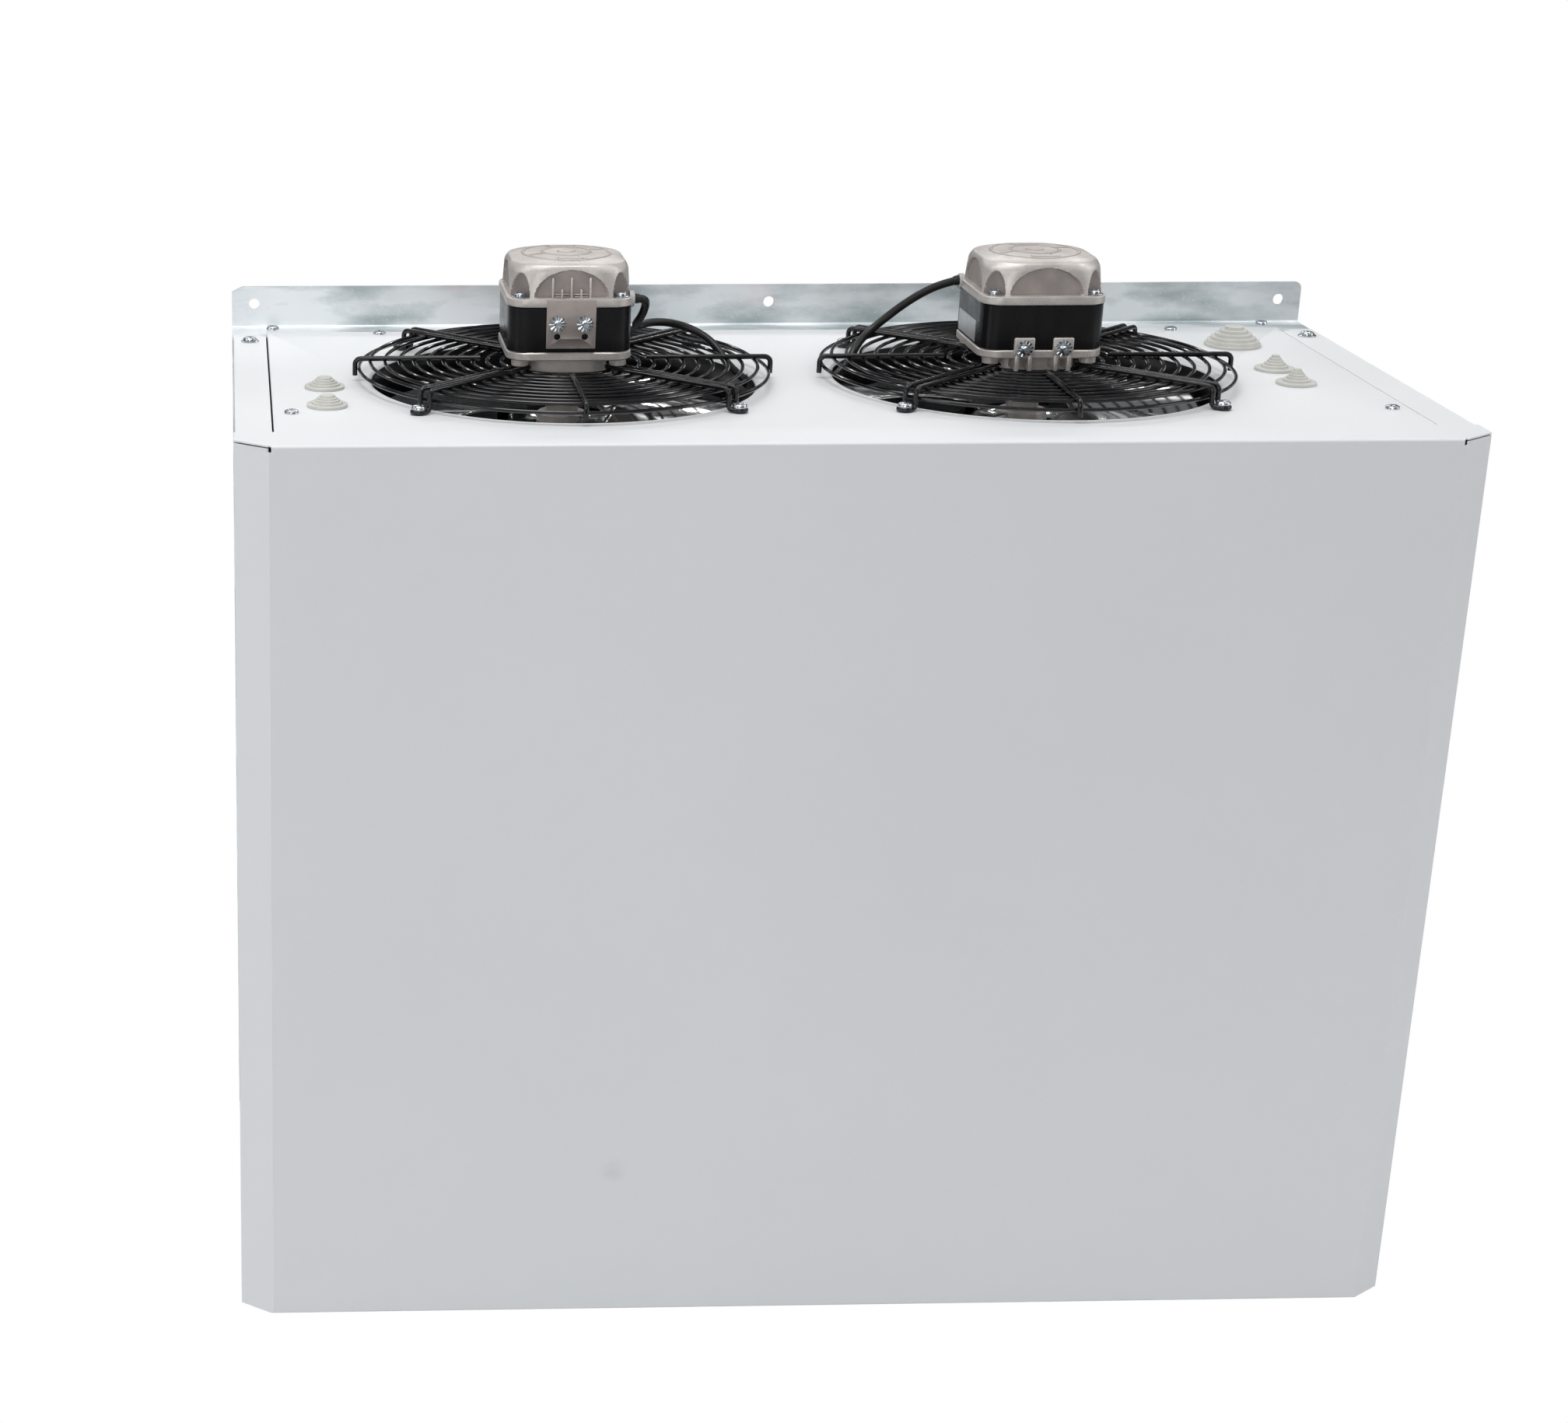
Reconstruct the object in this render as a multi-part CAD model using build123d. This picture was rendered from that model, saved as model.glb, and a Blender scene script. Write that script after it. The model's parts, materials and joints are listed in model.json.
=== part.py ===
from build123d import *
import math
import os

# Twin-fan unit cooler, in millimetres. The origin is the middle of the mounting plane, which is the
# back of the casing (Y = 0). +X is to the right, +Y points into the wall or ceiling that carries the
# unit, and +Z points from the air outlet to the fan deck.

# Casing
case_width = 800.0
case_depth = 392.0
case_height = 612.0
casing_sheet = 1.0
pan_lip = 39.0
pan_chamfer_x = 22.0
pan_chamfer_y = 17.0
pan_fold_radius = 1.8
pan_corner_slit = 0.8
pan_relief_radius = 1.6
side_flange = 24.5
side_return = 20.0
side_corner_cut = 8.0
back_sheet = 1.0
back_flange = 30.0
left_seam = 1.2
right_seam = 0.3
stiffener_drop = 12.0
seat_gap = 0.3

# Hanging brackets
bracket_sheet = 2.0
bracket_rise = 29.0
bracket_leg = 42.0
bracket_bend_radius = 2.0
bracket_hole_radius = 4.0
bracket_hole_height = 16.0
bracket_hole_inset = 16.5
bracket_round = 5.0
bracket_chamfer_x = 4.0
bracket_chamfer_z = 8.0
deck_step = 28.0
side_step = 35.0

# Fan openings in the deck
fan_offset_left = 174.0
fan_offset_right = 145.0
throat_radius = 131.0
bell_radius = 3.0
collar_depth = 26.0
bell_steps = 2

# Impeller and hub
impeller_radius = 127.0
blade_count = 5
blade_sheet = 1.5
blade_camber_radius = 95.0
blade_pitch = 27.0
blade_root_radius = 34.0
blade_root_angle = 46.0
blade_tip_angle = 52.0
blade_sweep = 10.0
blade_lift = 4.0
disc_radius = 44.0
disc_drop = 28.0
hub_radius = 17.0
hub_flange = 6.0
hub_top_drop = 7.0
hub_neck_radius = 11.0
shaft_radius = 4.0
shaft_end = 8.0
running_clearance = 0.05

# Motor
flange_size = 84.0
flange_corner = 14.0
flange_sheet = 5.6
neck_size = 55.0
neck_height = 9.2
stator_size = flange_size - 1.0
stator_corner = 12.0
stator_height = 30.3
rotor_radius = 22.0
rotor_sides = 16
air_gap = 0.4
cover_lip_size = flange_size + 1.0
cover_lip = 5.7
cover_base_size = cover_lip_size - 4.0
cover_top_size = cover_base_size - 7.0
cover_body_height = 20.0
cover_crown = 3.6
cover_cap = 1.7
cover_corner = 20.0
cover_round = 0.44
motor_screw_spacing = cover_base_size - 13.6
scallop_radius = 8.0
scallop_tilt = 12.0
scallop_reach = 3.6
scallop_height = 20.0
arch_radius = 24.5
arch_share = 0.66
arch_depth = 1.6
flap_width = 33.0
flap_sheet = 2.4
flap_drop = 29.0
flap_screw_spacing = 18.5
lug_width = 14.0
lug_pitch = 26.4
lug_stand_out = 2.5
lug_height = 23.5
boss_radius = 5.5
boss_spacing = flange_size - 18.0

# Fan guard: square wires with the area of round ones of 2.5 and 3.5 mm, and hoops with flats
ring_wire = 2.2
spoke_wire = 3.1
hoop_sides = 24
ring_pitch = 10.0
ring_count = 10
outer_ring_radius = 132.0
spoke_top = 16.85
spoke_tip_radius = 142.5
spoke_inner_radius = 57.0
spoke_drop_end = 3.7
rim_ring_height = 8.0
spoke_bend = 2.6
arm_gap = 8.0
arm_inner_radius = 39.0
foot_radius = 148.6
foot_neck_radius = 2.0

# Coil
fin_pitch = 8.0
fin_sheet = 0.3
tube_radius = 6.35
tubes_per_row = 9
tube_rows = 2
coil_edge_room = 24.55
tube_pitch = (case_depth - 2 * coil_edge_room) / tubes_per_row
row_pitch = 33.0
coil_lift = 6.0
coil_left_room = 82.0
coil_right_room = 112.0
partition_sheet = 1.5
partition_flange = 15.0
fin_gap = 1.5
tube_sides = 8
tube_stick_out = 6.0
suction_radius = 8.0
liquid_radius = 4.8
line_room = 60.0

# Drain, grommets, terminal box and fasteners
drain_inset = 65.0
drain_x = case_width / 2 - drain_inset
drain_outer_radius = 13.2
drain_bore_radius = 10.0
drain_length = 25.0
drain_collar_radius = 17.5
drain_collar = 3.0
large_grommet_radius = 20.0
small_grommet_radius = 13.5
grommet_lip = 2.0
grommet_sides = 12
neck_share = 0.7
left_grommet_inset = 62.0
left_grommet_first = 23.0
left_grommet_second = 79.5
large_grommet_inset = 78.0
large_grommet_back = 103.0
right_grommet_inset = 75.3
right_grommet_first = 18.0
right_grommet_second = 28.0
box_size_x = 38.0
box_size_y = 80.0
box_size_z = 110.0
box_lid = 8.0
box_wall = 2.5
box_set_forward = 90.0
box_set_down = 250.0
screw_head_radius = 4.7
screw_head_height = 2.6
screw_sides = 8
side_screw_head_radius = 6.6
arm_screw_head_radius = 3.4
side_screw_inset = 12.8
side_screw_back = 61.0
deck_screw_inset = 37.5
deck_screw_front = 97.0
rear_screw_inset = 107.0
bracket_screw_inset = 30.0
bracket_screw_back = 10.0

# Motor leads
lead_radius = 2.8
relief_radius = 6.2
relief_nose_radius = 3.4
bush_radius = 4.6
bush_neck_radius = 3.5
bush_inside = 9.0
relief_reach = 4.0

deck_z = case_height / 2
outlet_z = -deck_z
half_width = case_width / 2
mid_y = -case_depth / 2
pan_inner_y = -case_depth + casing_sheet
leg_top_z = deck_z - casing_sheet
leg_under_z = leg_top_z - bracket_sheet
fans = {"left": (-fan_offset_left, mid_y, 180.0), "right": (fan_offset_right, mid_y, 0.0)}
sides = {"left": -1, "right": 1}

# Heights above the deck, shared by the motor and its guard
arm_axis_z = spoke_top - spoke_wire / 2
ring_axis_z = spoke_top - spoke_wire - ring_wire / 2
neck_foot_z = 12.2
flange_z = neck_foot_z + neck_height
stator_z = flange_z + flange_sheet
cover_z = stator_z + stator_height
cover_body_z = cover_z + cover_lip
cover_top_z = cover_body_z + cover_body_height

# Routes of the motor leads, from the fan axis and the deck, in order from the motor
lead_exit = cover_lip_size / 2 + relief_reach
lead_routes = {
    "left": [
        (lead_exit, -29.0, 60.8), (50.5, -28.0, 60.3), (52.8, -20.0, 55.5), (52.5, -4.0, 44.5), (50.5, 14.0, 35.0),
        (54.0, 31.0, 30.5), (66.0, 43.5, 31.0), (81.0, 49.5, 29.0), (94.5, 48.5, 25.0), (106.0, 42.0, 19.0),
        (112.2, 33.2, 12.6), (116.6, 27.5, 5.8), (121.8, 23.3, 0.4), (128.2, 21.0, -4.4),
    ],
    "right": [
        (-lead_exit, 30.0, 60.8), (-56.0, 34.0, 57.4), (-67.0, 40.5, 50.0), (-77.5, 45.5, 41.5), (-87.5, 48.5, 32.5),
        (-96.8, 47.5, 25.0), (-105.4, 42.0, 19.0), (-112.2, 33.2, 12.6), (-116.6, 27.5, 5.8), (-121.8, 23.3, 0.4),
        (-128.2, 21.0, -4.4),
    ],
}


def block(x0, x1, y0, y1, z0, z1):
    """A box given by its two ends along each axis."""
    return Pos((x0 + x1) / 2, (y0 + y1) / 2, (z0 + z1) / 2) * Box(x1 - x0, y1 - y0, z1 - z0)


def rounded_block(size, corner, z0, z1, top_size=None, top_corner=None):
    """A square block with round corners, centred on the fan axis, that may taper to its top."""
    low = Pos(0, 0, z0) * RectangleRounded(size, size, corner)
    if top_size is None:
        return extrude(low, z1 - z0)
    high = Pos(0, 0, z1) * RectangleRounded(top_size, top_size, top_corner)
    return loft([low.face(), high.face()])


def rod(radius, x, y, z0, z1):
    """An upright cylinder from z0 to z1."""
    return Pos(x, y, (z0 + z1) / 2) * Cylinder(radius, z1 - z0)


def faceted(radius, count, z0, z1):
    """An upright prism on the Z axis, whose corners lie on the radius."""
    return Pos(0, 0, z0) * extrude(RegularPolygon(radius, count), z1 - z0)


def screw_head(radius=screw_head_radius, washer=0.0):
    """The head of a screw, standing on Z = 0; its thread and cross are left out."""
    head = faceted(radius, screw_sides, 0, screw_head_height)
    return head + faceted(radius + washer, screw_sides, 0, 0.8) if washer else head


# Casing ----------------------------------------------------------------------------------------


def pan_outline(back_y):
    """Plan of the tray: a long front with a chamfer at each side, open towards the back."""
    front = -case_depth
    corner = half_width - pan_chamfer_x
    points = [
        (-half_width, back_y), (-half_width, front + pan_chamfer_y), (-corner, front),
        (corner, front), (half_width, front + pan_chamfer_y), (half_width, back_y),
    ]
    return make_face(Polyline(*points, close=True))


def drain_pan():
    """White drip tray: front sheet, chamfered sides and a lip at each end, slit at the deck corners."""
    lip_y = -case_depth + pan_lip
    outer = extrude(Pos(0, 0, outlet_z - casing_sheet) * pan_outline(lip_y), case_height + 2 * casing_sheet)
    inner_plan = offset(pan_outline(lip_y + pan_lip), -casing_sheet, kind=Kind.INTERSECTION)
    inner = extrude(Pos(0, 0, outlet_z) * inner_plan, case_height)
    pan = outer - inner
    folds = pan.edges().filter_by(Axis.X).filter_by_position(
        Axis.Y, -case_depth - 0.1, -case_depth + 0.1)
    pan = fillet(folds, pan_fold_radius)
    fold_x = half_width - pan_chamfer_x
    for side in (1, -1):
        slit_x = sorted((side * fold_x, side * (half_width + 1)))
        pan -= block(*slit_x, -case_depth - 1, lip_y + 1, deck_z - pan_corner_slit, deck_z)
        pan -= rod(pan_relief_radius, side * fold_x, -case_depth, deck_z - 2 * pan_relief_radius, deck_z + 2)
    return pan - rod(drain_outer_radius + seat_gap, drain_x, drain_y(), outlet_z - 2 * casing_sheet, outlet_z + 1)


def drain_y():
    return -case_depth + pan_lip / 2


def side_panel(side):
    """Flat side with inward flanges at the deck, the outlet and the back."""
    s = sides[side]
    outer_x = half_width - casing_sheet
    inner_x = outer_x - casing_sheet
    flange_x = half_width - side_flange
    front_y = -case_depth + pan_chamfer_y + casing_sheet

    def span(a, b):
        return sorted((s * a, s * b))

    panel = block(*span(inner_x, outer_x), front_y, -back_sheet, -leg_under_z, leg_under_z)
    panel += block(*span(inner_x, outer_x), front_y, -bracket_leg - seat_gap, outlet_z, deck_z)
    for end in (1, -1):
        flange_z = sorted((end * deck_z, end * (deck_z - casing_sheet)))
        flange = block(*span(flange_x, outer_x), front_y, -side_step, *flange_z)
        corner = flange.edges().filter_by(Axis.Z).sort_by(Axis.Y)[-2:].sort_by(Axis.X)
        panel += chamfer(corner[0] if s > 0 else corner[-1], side_corner_cut)
    return_z = leg_under_z - back_sheet
    panel += block(*span(outer_x - side_return, outer_x), -back_sheet - casing_sheet, -back_sheet,
                   -return_z, return_z)
    return panel


def back_panel():
    """Galvanised back sheet with a forward flange under each bracket."""
    panel = block(-half_width, half_width, -back_sheet, 0, -leg_under_z, leg_under_z)
    flange_x = half_width - side_return - casing_sheet - seat_gap
    for end in (1, -1):
        z = sorted((end * leg_under_z, end * (leg_under_z - back_sheet)))
        panel += block(-flange_x, flange_x, -back_flange, 0, *z)
    return panel


def bracket(end):
    """Angle with three hanging holes in its upright leg, for the deck end (1) or the outlet end (-1)."""
    tip_z = deck_z + bracket_rise
    leg = block(-half_width, half_width, -bracket_leg, 0, leg_under_z, leg_top_z)
    upright = block(-half_width, half_width, -bracket_sheet, 0, leg_under_z, tip_z)
    corners = upright.edges().filter_by(Axis.Y).group_by(Axis.Z)[-1].sort_by(Axis.X)
    upright = fillet(corners[-1], bracket_round)
    corners = upright.edges().filter_by(Axis.Y).group_by(Axis.X)[0].sort_by(Axis.Z)
    upright = chamfer(corners[-1], bracket_chamfer_z, bracket_chamfer_x)
    angle = leg + upright
    inner = angle.edges().filter_by(Axis.X).filter_by_position(
        Axis.Y, -bracket_sheet - 0.1, -bracket_sheet + 0.1).filter_by_position(
        Axis.Z, leg_top_z - 0.1, leg_top_z + 0.1)
    angle = fillet(inner, bracket_bend_radius)
    for x in (-(half_width - bracket_hole_inset), 0, half_width - bracket_hole_inset):
        angle -= Pos(x, 0, deck_z + bracket_hole_height) * Rot(90, 0, 0) * Cylinder(
            bracket_hole_radius, 4 * bracket_sheet)
    return angle if end > 0 else mirror(angle, Plane.XY)


def fan_plate():
    """White fan deck: two bell-mouthed openings, folded edges and holes for what passes through it."""
    left_x = -half_width + side_flange + left_seam
    right_x = half_width - side_flange - right_seam
    low_z = deck_z - casing_sheet
    plate = block(left_x, right_x, pan_inner_y, -deck_step, low_z, deck_z)
    fold_z = (deck_z - stiffener_drop, deck_z)
    plate += block(left_x, right_x, pan_inner_y, pan_inner_y + casing_sheet, *fold_z)
    plate += block(left_x, left_x + casing_sheet, pan_inner_y, -bracket_leg - seat_gap, *fold_z)
    plate += block(right_x - casing_sheet, right_x, pan_inner_y, -bracket_leg - seat_gap, *fold_z)
    for side, (x, y, _) in fans.items():
        plate -= rod(throat_radius + bell_radius, x, y, low_z - 1, deck_z + 1)
        plate += Pos(x, y, deck_z) * bell_mouth()
        plate -= bush_axis(side) * Cylinder(bush_neck_radius + seat_gap / 3, 30)
    for x, y, radius in grommet_places():
        plate -= Pos(x, y, deck_z) * faceted(radius * neck_share, grommet_sides, -2 * casing_sheet, 1)
    return plate


def bell_mouth():
    """Pressed throat: a lip that turns down in two folds into a short collar."""
    edge = throat_radius + bell_radius
    turn = math.radians(90 / bell_steps)
    knee = (edge - bell_radius * math.sin(turn), -bell_radius * (1 - math.cos(turn)))
    outside = [(edge, 0), knee, (throat_radius, -bell_radius), (throat_radius, -collar_depth)]
    step = casing_sheet * math.tan(math.radians(90 / bell_steps / 2))
    inside = [
        (throat_radius + casing_sheet, -collar_depth), (throat_radius + casing_sheet, -bell_radius - step / 2),
        (knee[0] + step, knee[1] - casing_sheet), (edge, -casing_sheet),
    ]
    return revolve(Plane.XZ * make_face(Polyline(*outside, *inside, close=True)), Axis.Z)


# Grommets, fasteners and drain ----------------------------------------------------------------


def grommet_places():
    """Centres and radii of the grommets: two on the left, the large one, and two on the right."""
    left_x = -(half_width - left_grommet_inset)
    large_x = half_width - large_grommet_inset
    right_x = half_width - right_grommet_inset
    return [
        (left_x, mid_y - left_grommet_first, small_grommet_radius),
        (left_x, mid_y - left_grommet_second, small_grommet_radius),
        (large_x, mid_y + large_grommet_back, large_grommet_radius),
        (right_x, mid_y + right_grommet_first, small_grommet_radius),
        (right_x, mid_y - right_grommet_second, small_grommet_radius),
    ]


def grommet(radius, height, steps, tip_radius):
    """Blind stepped rubber grommet, with its neck in the deck's hole and a lip under it."""
    body = faceted(radius, grommet_sides, 0, grommet_lip)
    rise = (height - grommet_lip) / (steps - 1)
    shrink = (radius - tip_radius) / (steps - 1)
    for step in range(1, steps):
        top = grommet_lip + rise * step
        body += faceted(radius - shrink * step, grommet_sides, top - rise, top)
    body += faceted(radius * neck_share, grommet_sides, -casing_sheet, 0)
    return body + faceted(radius * (neck_share + 0.1), grommet_sides, -casing_sheet - grommet_lip, -casing_sheet)


def grommets(first, last, height, steps, tip_radius):
    """The grommets of one size, from the list of places."""
    places = grommet_places()[first:last]
    return [Pos(x, y, deck_z) * grommet(radius, height, steps, tip_radius) for x, y, radius in places]


def drain_socket():
    """Socket for the drain pipe, flush with the tray's outlet lip and collared on its inside."""
    low = outlet_z - casing_sheet
    socket = rod(drain_outer_radius, drain_x, drain_y(), low, outlet_z + drain_length)
    socket += rod(drain_collar_radius, drain_x, drain_y(), outlet_z, outlet_z + drain_collar)
    return socket - rod(drain_bore_radius, drain_x, drain_y(), low - 1, outlet_z + drain_length + 1)


def casing_screws():
    """Screws of the fan deck, the side flanges and the brackets."""
    front_x = half_width - deck_screw_inset
    front_y = -case_depth + deck_screw_front
    rear_x = half_width - rear_screw_inset
    deck = [(-front_x, front_y), (front_x, front_y - 6.0), (-rear_x, -side_step), (rear_x, -side_step)]
    placed = [Pos(x, y, deck_z) * screw_head() for x, y in deck]
    washer_screw = screw_head(side_screw_head_radius - 1.6, washer=1.6)
    for s in sides.values():
        upper = Pos(s * (half_width - side_screw_inset), -side_screw_back, deck_z) * washer_screw
        lower = Pos(s * (half_width - bracket_screw_inset), -bracket_screw_back, leg_top_z) * screw_head()
        placed += [upper, mirror(upper, Plane.XY), lower, mirror(lower, Plane.XY)]
    return placed


# Coil ------------------------------------------------------------------------------------------

coil_low_x = -half_width + coil_left_room
coil_high_x = half_width - coil_right_room
coil_low_z = outlet_z + coil_lift
coil_half_y = tubes_per_row * tube_pitch / 2


def tube_places():
    """Centres of the tubes in Y and Z, in the order in which the refrigerant passes them."""
    places = []
    for row in range(tube_rows):
        z = coil_low_z + (row + 0.5) * row_pitch
        line = [(mid_y - coil_half_y + (i + 0.5) * tube_pitch, z) for i in range(tubes_per_row)]
        places += line if row % 2 == 0 else line[::-1]
    return places


def coil_fins():
    count = int((coil_high_x - coil_low_x - 2 * fin_gap) / fin_pitch) + 1
    start = (coil_low_x + coil_high_x - (count - 1) * fin_pitch) / 2
    fin = Box(fin_sheet, 2 * coil_half_y, tube_rows * row_pitch)
    middle_z = coil_low_z + tube_rows * row_pitch / 2
    return [Pos(start + i * fin_pitch, mid_y, middle_z) * fin for i in range(count)]


def tube_section():
    return RegularPolygon(tube_radius, tube_sides, rotation=180 / tube_sides)


def coil_tubes():
    """Straight tubes, expanded into the fins and the partitions."""
    low_x = coil_low_x - partition_sheet - tube_stick_out
    high_x = coil_high_x + partition_sheet + tube_stick_out
    return [Pos(low_x, y, z) * extrude(Plane.YZ * tube_section(), high_x - low_x) for y, z in tube_places()]


def return_bends(side):
    """Bends that join neighbouring tubes at one end of the coil."""
    s = sides[side]
    edge = (coil_high_x if s > 0 else coil_low_x) + s * (partition_sheet + tube_stick_out)
    places = tube_places()
    first = 1 if s > 0 else 0
    bends = []
    for (y0, z0), (y1, z1) in zip(places[first::2], places[first + 1::2]):
        out = edge + s * math.hypot(y1 - y0, z1 - z0) / 2
        near, far = 0.3, 0.7
        route = Polyline(
            (edge, y0, z0), (edge + (out - edge) * 0.45, y0, z0),
            (out, y0 + (y1 - y0) * near, z0 + (z1 - z0) * near), (out, y0 + (y1 - y0) * far, z0 + (z1 - z0) * far),
            (edge + (out - edge) * 0.45, y1, z1), (edge, y1, z1))
        bends.append(pipe(route, tube_radius))
    return bends


def partition(side):
    """Sheet from the outlet to the deck beside the coil, flanged to the tray and the back panel."""
    s = sides[side]
    inner_x = coil_high_x if s > 0 else coil_low_x
    x = sorted((inner_x, inner_x + s * partition_sheet))
    flange_x = sorted((inner_x, inner_x + s * partition_flange))
    fold_y = pan_inner_y + casing_sheet + seat_gap
    fold_z = deck_z - stiffener_drop - seat_gap
    high_z = deck_z - casing_sheet
    rear_z = leg_under_z - back_sheet
    plate = block(*x, pan_inner_y, -back_sheet, -rear_z, fold_z)
    plate += block(*x, fold_y, -bracket_leg - seat_gap, fold_z, high_z)
    plate += block(*flange_x, pan_inner_y, pan_inner_y + partition_sheet, -rear_z, fold_z)
    plate += block(*flange_x, -back_sheet - partition_sheet, -back_sheet, -rear_z, rear_z)
    return plate + block(*x, -bracket_leg, -back_sheet, fold_z, rear_z)


def pipe(route, radius):
    """A pipe along a route of straight runs with mitred or round corners."""
    return sweep((route ^ 0) * RegularPolygon(radius, tube_sides, rotation=180 / tube_sides), route,
                 transition=Transition.RIGHT)


def line_start(index):
    y, z = tube_places()[index]
    return coil_high_x + partition_sheet + tube_stick_out, y, z


def suction_line():
    """Suction pipe from the last tube to under the large grommet, closed at its free end."""
    x, y, z = line_start(-1)
    end_x, end_y, _ = grommet_places()[2]
    rise = z + 60.0
    top = deck_z - line_room
    return pipe(Polyline((x, y, z), (end_x, y, z), (end_x, y, rise), (end_x, end_y, top - 60.0), (end_x, end_y, top)),
                suction_radius)


def liquid_line():
    """Liquid pipe from the first tube to under a small grommet, closed at its free end."""
    x, y, z = line_start(0)
    end_x, end_y, _ = grommet_places()[4]
    out_x = end_x + 30.0
    top = deck_z - line_room
    return pipe(Polyline((x, y, z), (out_x, y, z), (out_x, y, z + 140.0), (end_x, end_y, top - 60.0), (end_x, end_y, top)),
                liquid_radius)


def terminal_box():
    """Terminal box on the inside of the left side panel, and its lid."""
    x0 = -half_width + 2 * casing_sheet
    x1 = x0 + box_size_x
    y = (mid_y - box_set_forward, mid_y - box_set_forward + box_size_y)
    z = (deck_z - box_set_down, deck_z - box_set_down + box_size_z)
    wall = box_wall
    shell = block(x0, x1, *y, *z)
    shell -= block(x0 + wall, x1 + 1, y[0] + wall, y[1] - wall, z[0] + wall, z[1] - wall)
    lid = block(x1, x1 + box_lid, *y, *z)
    return shell, chamfer(lid.faces().sort_by(Axis.X)[-1].edges(), 2.5)


# Fans, at the fan axis with the deck at Z = 0 ----------------------------------------------------


def foot_places():
    """Centres of the four guard feet, on the diagonals."""
    reach = foot_radius * math.cos(math.radians(45))
    return [(sx * reach, sy * reach) for sx in (-1, 1) for sy in (-1, 1)]


def hoop(radius, z):
    """One ring of square wire, drawn with flats whose middles lie on the radius."""
    outer = RegularPolygon(radius + ring_wire / 2, hoop_sides, major_radius=False)
    inner = RegularPolygon(radius - ring_wire / 2, hoop_sides, major_radius=False)
    turned = Pos(0, 0, z - ring_wire / 2) * Rot(0, 0, hoop_turn()) * (outer - inner)
    return extrude(turned, ring_wire)


def hoop_turn():
    """Turns a hoop so that a spoke meets the middle of a flat."""
    corner = RegularPolygon(1.0, hoop_sides, major_radius=False).vertices()[0]
    return 180 / hoop_sides - math.degrees(math.atan2(corner.Y, corner.X))


def guard_rings():
    """Concentric rings, and the rim that ties the spoke tips and the legs together from inside."""
    rings = [hoop(outer_ring_radius - i * ring_pitch, ring_axis_z) for i in range(ring_count)]
    return rings + [hoop(spoke_tip_radius - spoke_wire / 2 - ring_wire / 2, rim_ring_height)]


def wire_profile(start, end, z_low):
    """A wire's side view: level from start, then bent down at end."""
    half = spoke_wire / 2
    leg = [(start, arm_axis_z + half), (end + half, arm_axis_z + half), (end + half, z_low)]
    back = [(end - half, z_low), (end - half, arm_axis_z - half), (start, arm_axis_z - half)]
    return make_face(Polyline(*leg, *back, close=True))


def bent_wire(start, end, z_low):
    """A level wire whose outer end is bent down."""
    wire = extrude(Plane.XZ * wire_profile(start, end, z_low), spoke_wire / 2, both=True)
    knee = wire.edges().filter_by(Axis.Y).group_by(Axis.X)[-1].sort_by(Axis.Z)[-1]
    return chamfer(knee, spoke_bend)


def guard_spokes():
    """Four single wires on top of the rings, bent down at the rim."""
    spoke = bent_wire(spoke_inner_radius, spoke_tip_radius, spoke_drop_end)
    return [Rot(0, 0, 90 * i) * spoke for i in range(4)]


def hairpin(start, end, z):
    """The closed end of a double wire, from its start to its rounded tip at the end."""
    half = arm_gap / 2
    turn = 1 if end > start else -1
    points = [(start, half), (end - turn * 2.6, half), (end, half - 2.6)]
    points += [(x, -y) for x, y in points[::-1]]
    route = Polyline(*[(x, y, z) for x, y in points])
    return sweep((route ^ 0) * Rectangle(spoke_wire, spoke_wire), route, transition=Transition.RIGHT)


def guard_arms():
    """Four double wires that carry the motor, each ending in a foot round its screw."""
    half = spoke_wire / 2
    wire = bent_wire(arm_inner_radius + 10, spoke_tip_radius, 0)
    arm = Pos(0, arm_gap / 2, 0) * wire + Pos(0, -arm_gap / 2, 0) * wire
    arm += hairpin(arm_inner_radius + 12, arm_inner_radius, arm_axis_z)
    arm += hairpin(spoke_tip_radius, foot_radius + 4.0, half)
    return [Rot(0, 0, 45 + 90 * i) * arm for i in range(4)]


def guard_screws():
    """Screws of the guard's feet, each in the eye of its foot with a neck down to the deck."""
    head = screw_head(screw_head_radius + 0.4) + faceted(foot_neck_radius, screw_sides, -spoke_wire, 0)
    return [Pos(x, y, spoke_wire) * head for x, y in foot_places()]


def motor_base():
    """Die-cast bottom end shield: flange, neck, four bosses on the guard arms and two lugs."""
    base = rounded_block(flange_size, flange_corner, flange_z, stator_z)
    base += rounded_block(neck_size, stator_corner, neck_foot_z, flange_z)
    for sx in (-1, 1):
        for sy in (-1, 1):
            boss = faceted(boss_radius, screw_sides, spoke_top, flange_z)
            base += Pos(sx * boss_spacing / 2, sy * boss_spacing / 2, 0) * boss
    face_y = -flange_size / 2
    foot_z = spoke_top - spoke_wire + seat_gap
    for s in (-1, 1):
        centre = s * lug_pitch / 2
        lug = block(centre - lug_width / 2, centre + lug_width / 2, face_y - lug_stand_out, face_y,
                    foot_z, neck_foot_z + lug_height)
        base += chamfer(lug.edges().filter_by(Axis.Y).group_by(Axis.Z)[-1], 2.0)
        base += block(centre - 4, centre + 4, face_y, -neck_size / 2, foot_z, flange_z)
    return base - rod(shaft_radius + running_clearance, 0, 0, neck_foot_z - 1, stator_z + 1)


def stator():
    """Laminated stator with the rotor's bore."""
    core = rounded_block(stator_size, stator_corner, stator_z, cover_z)
    return core - rod(rotor_radius + air_gap, 0, 0, stator_z - 1, cover_z + 1)


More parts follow.
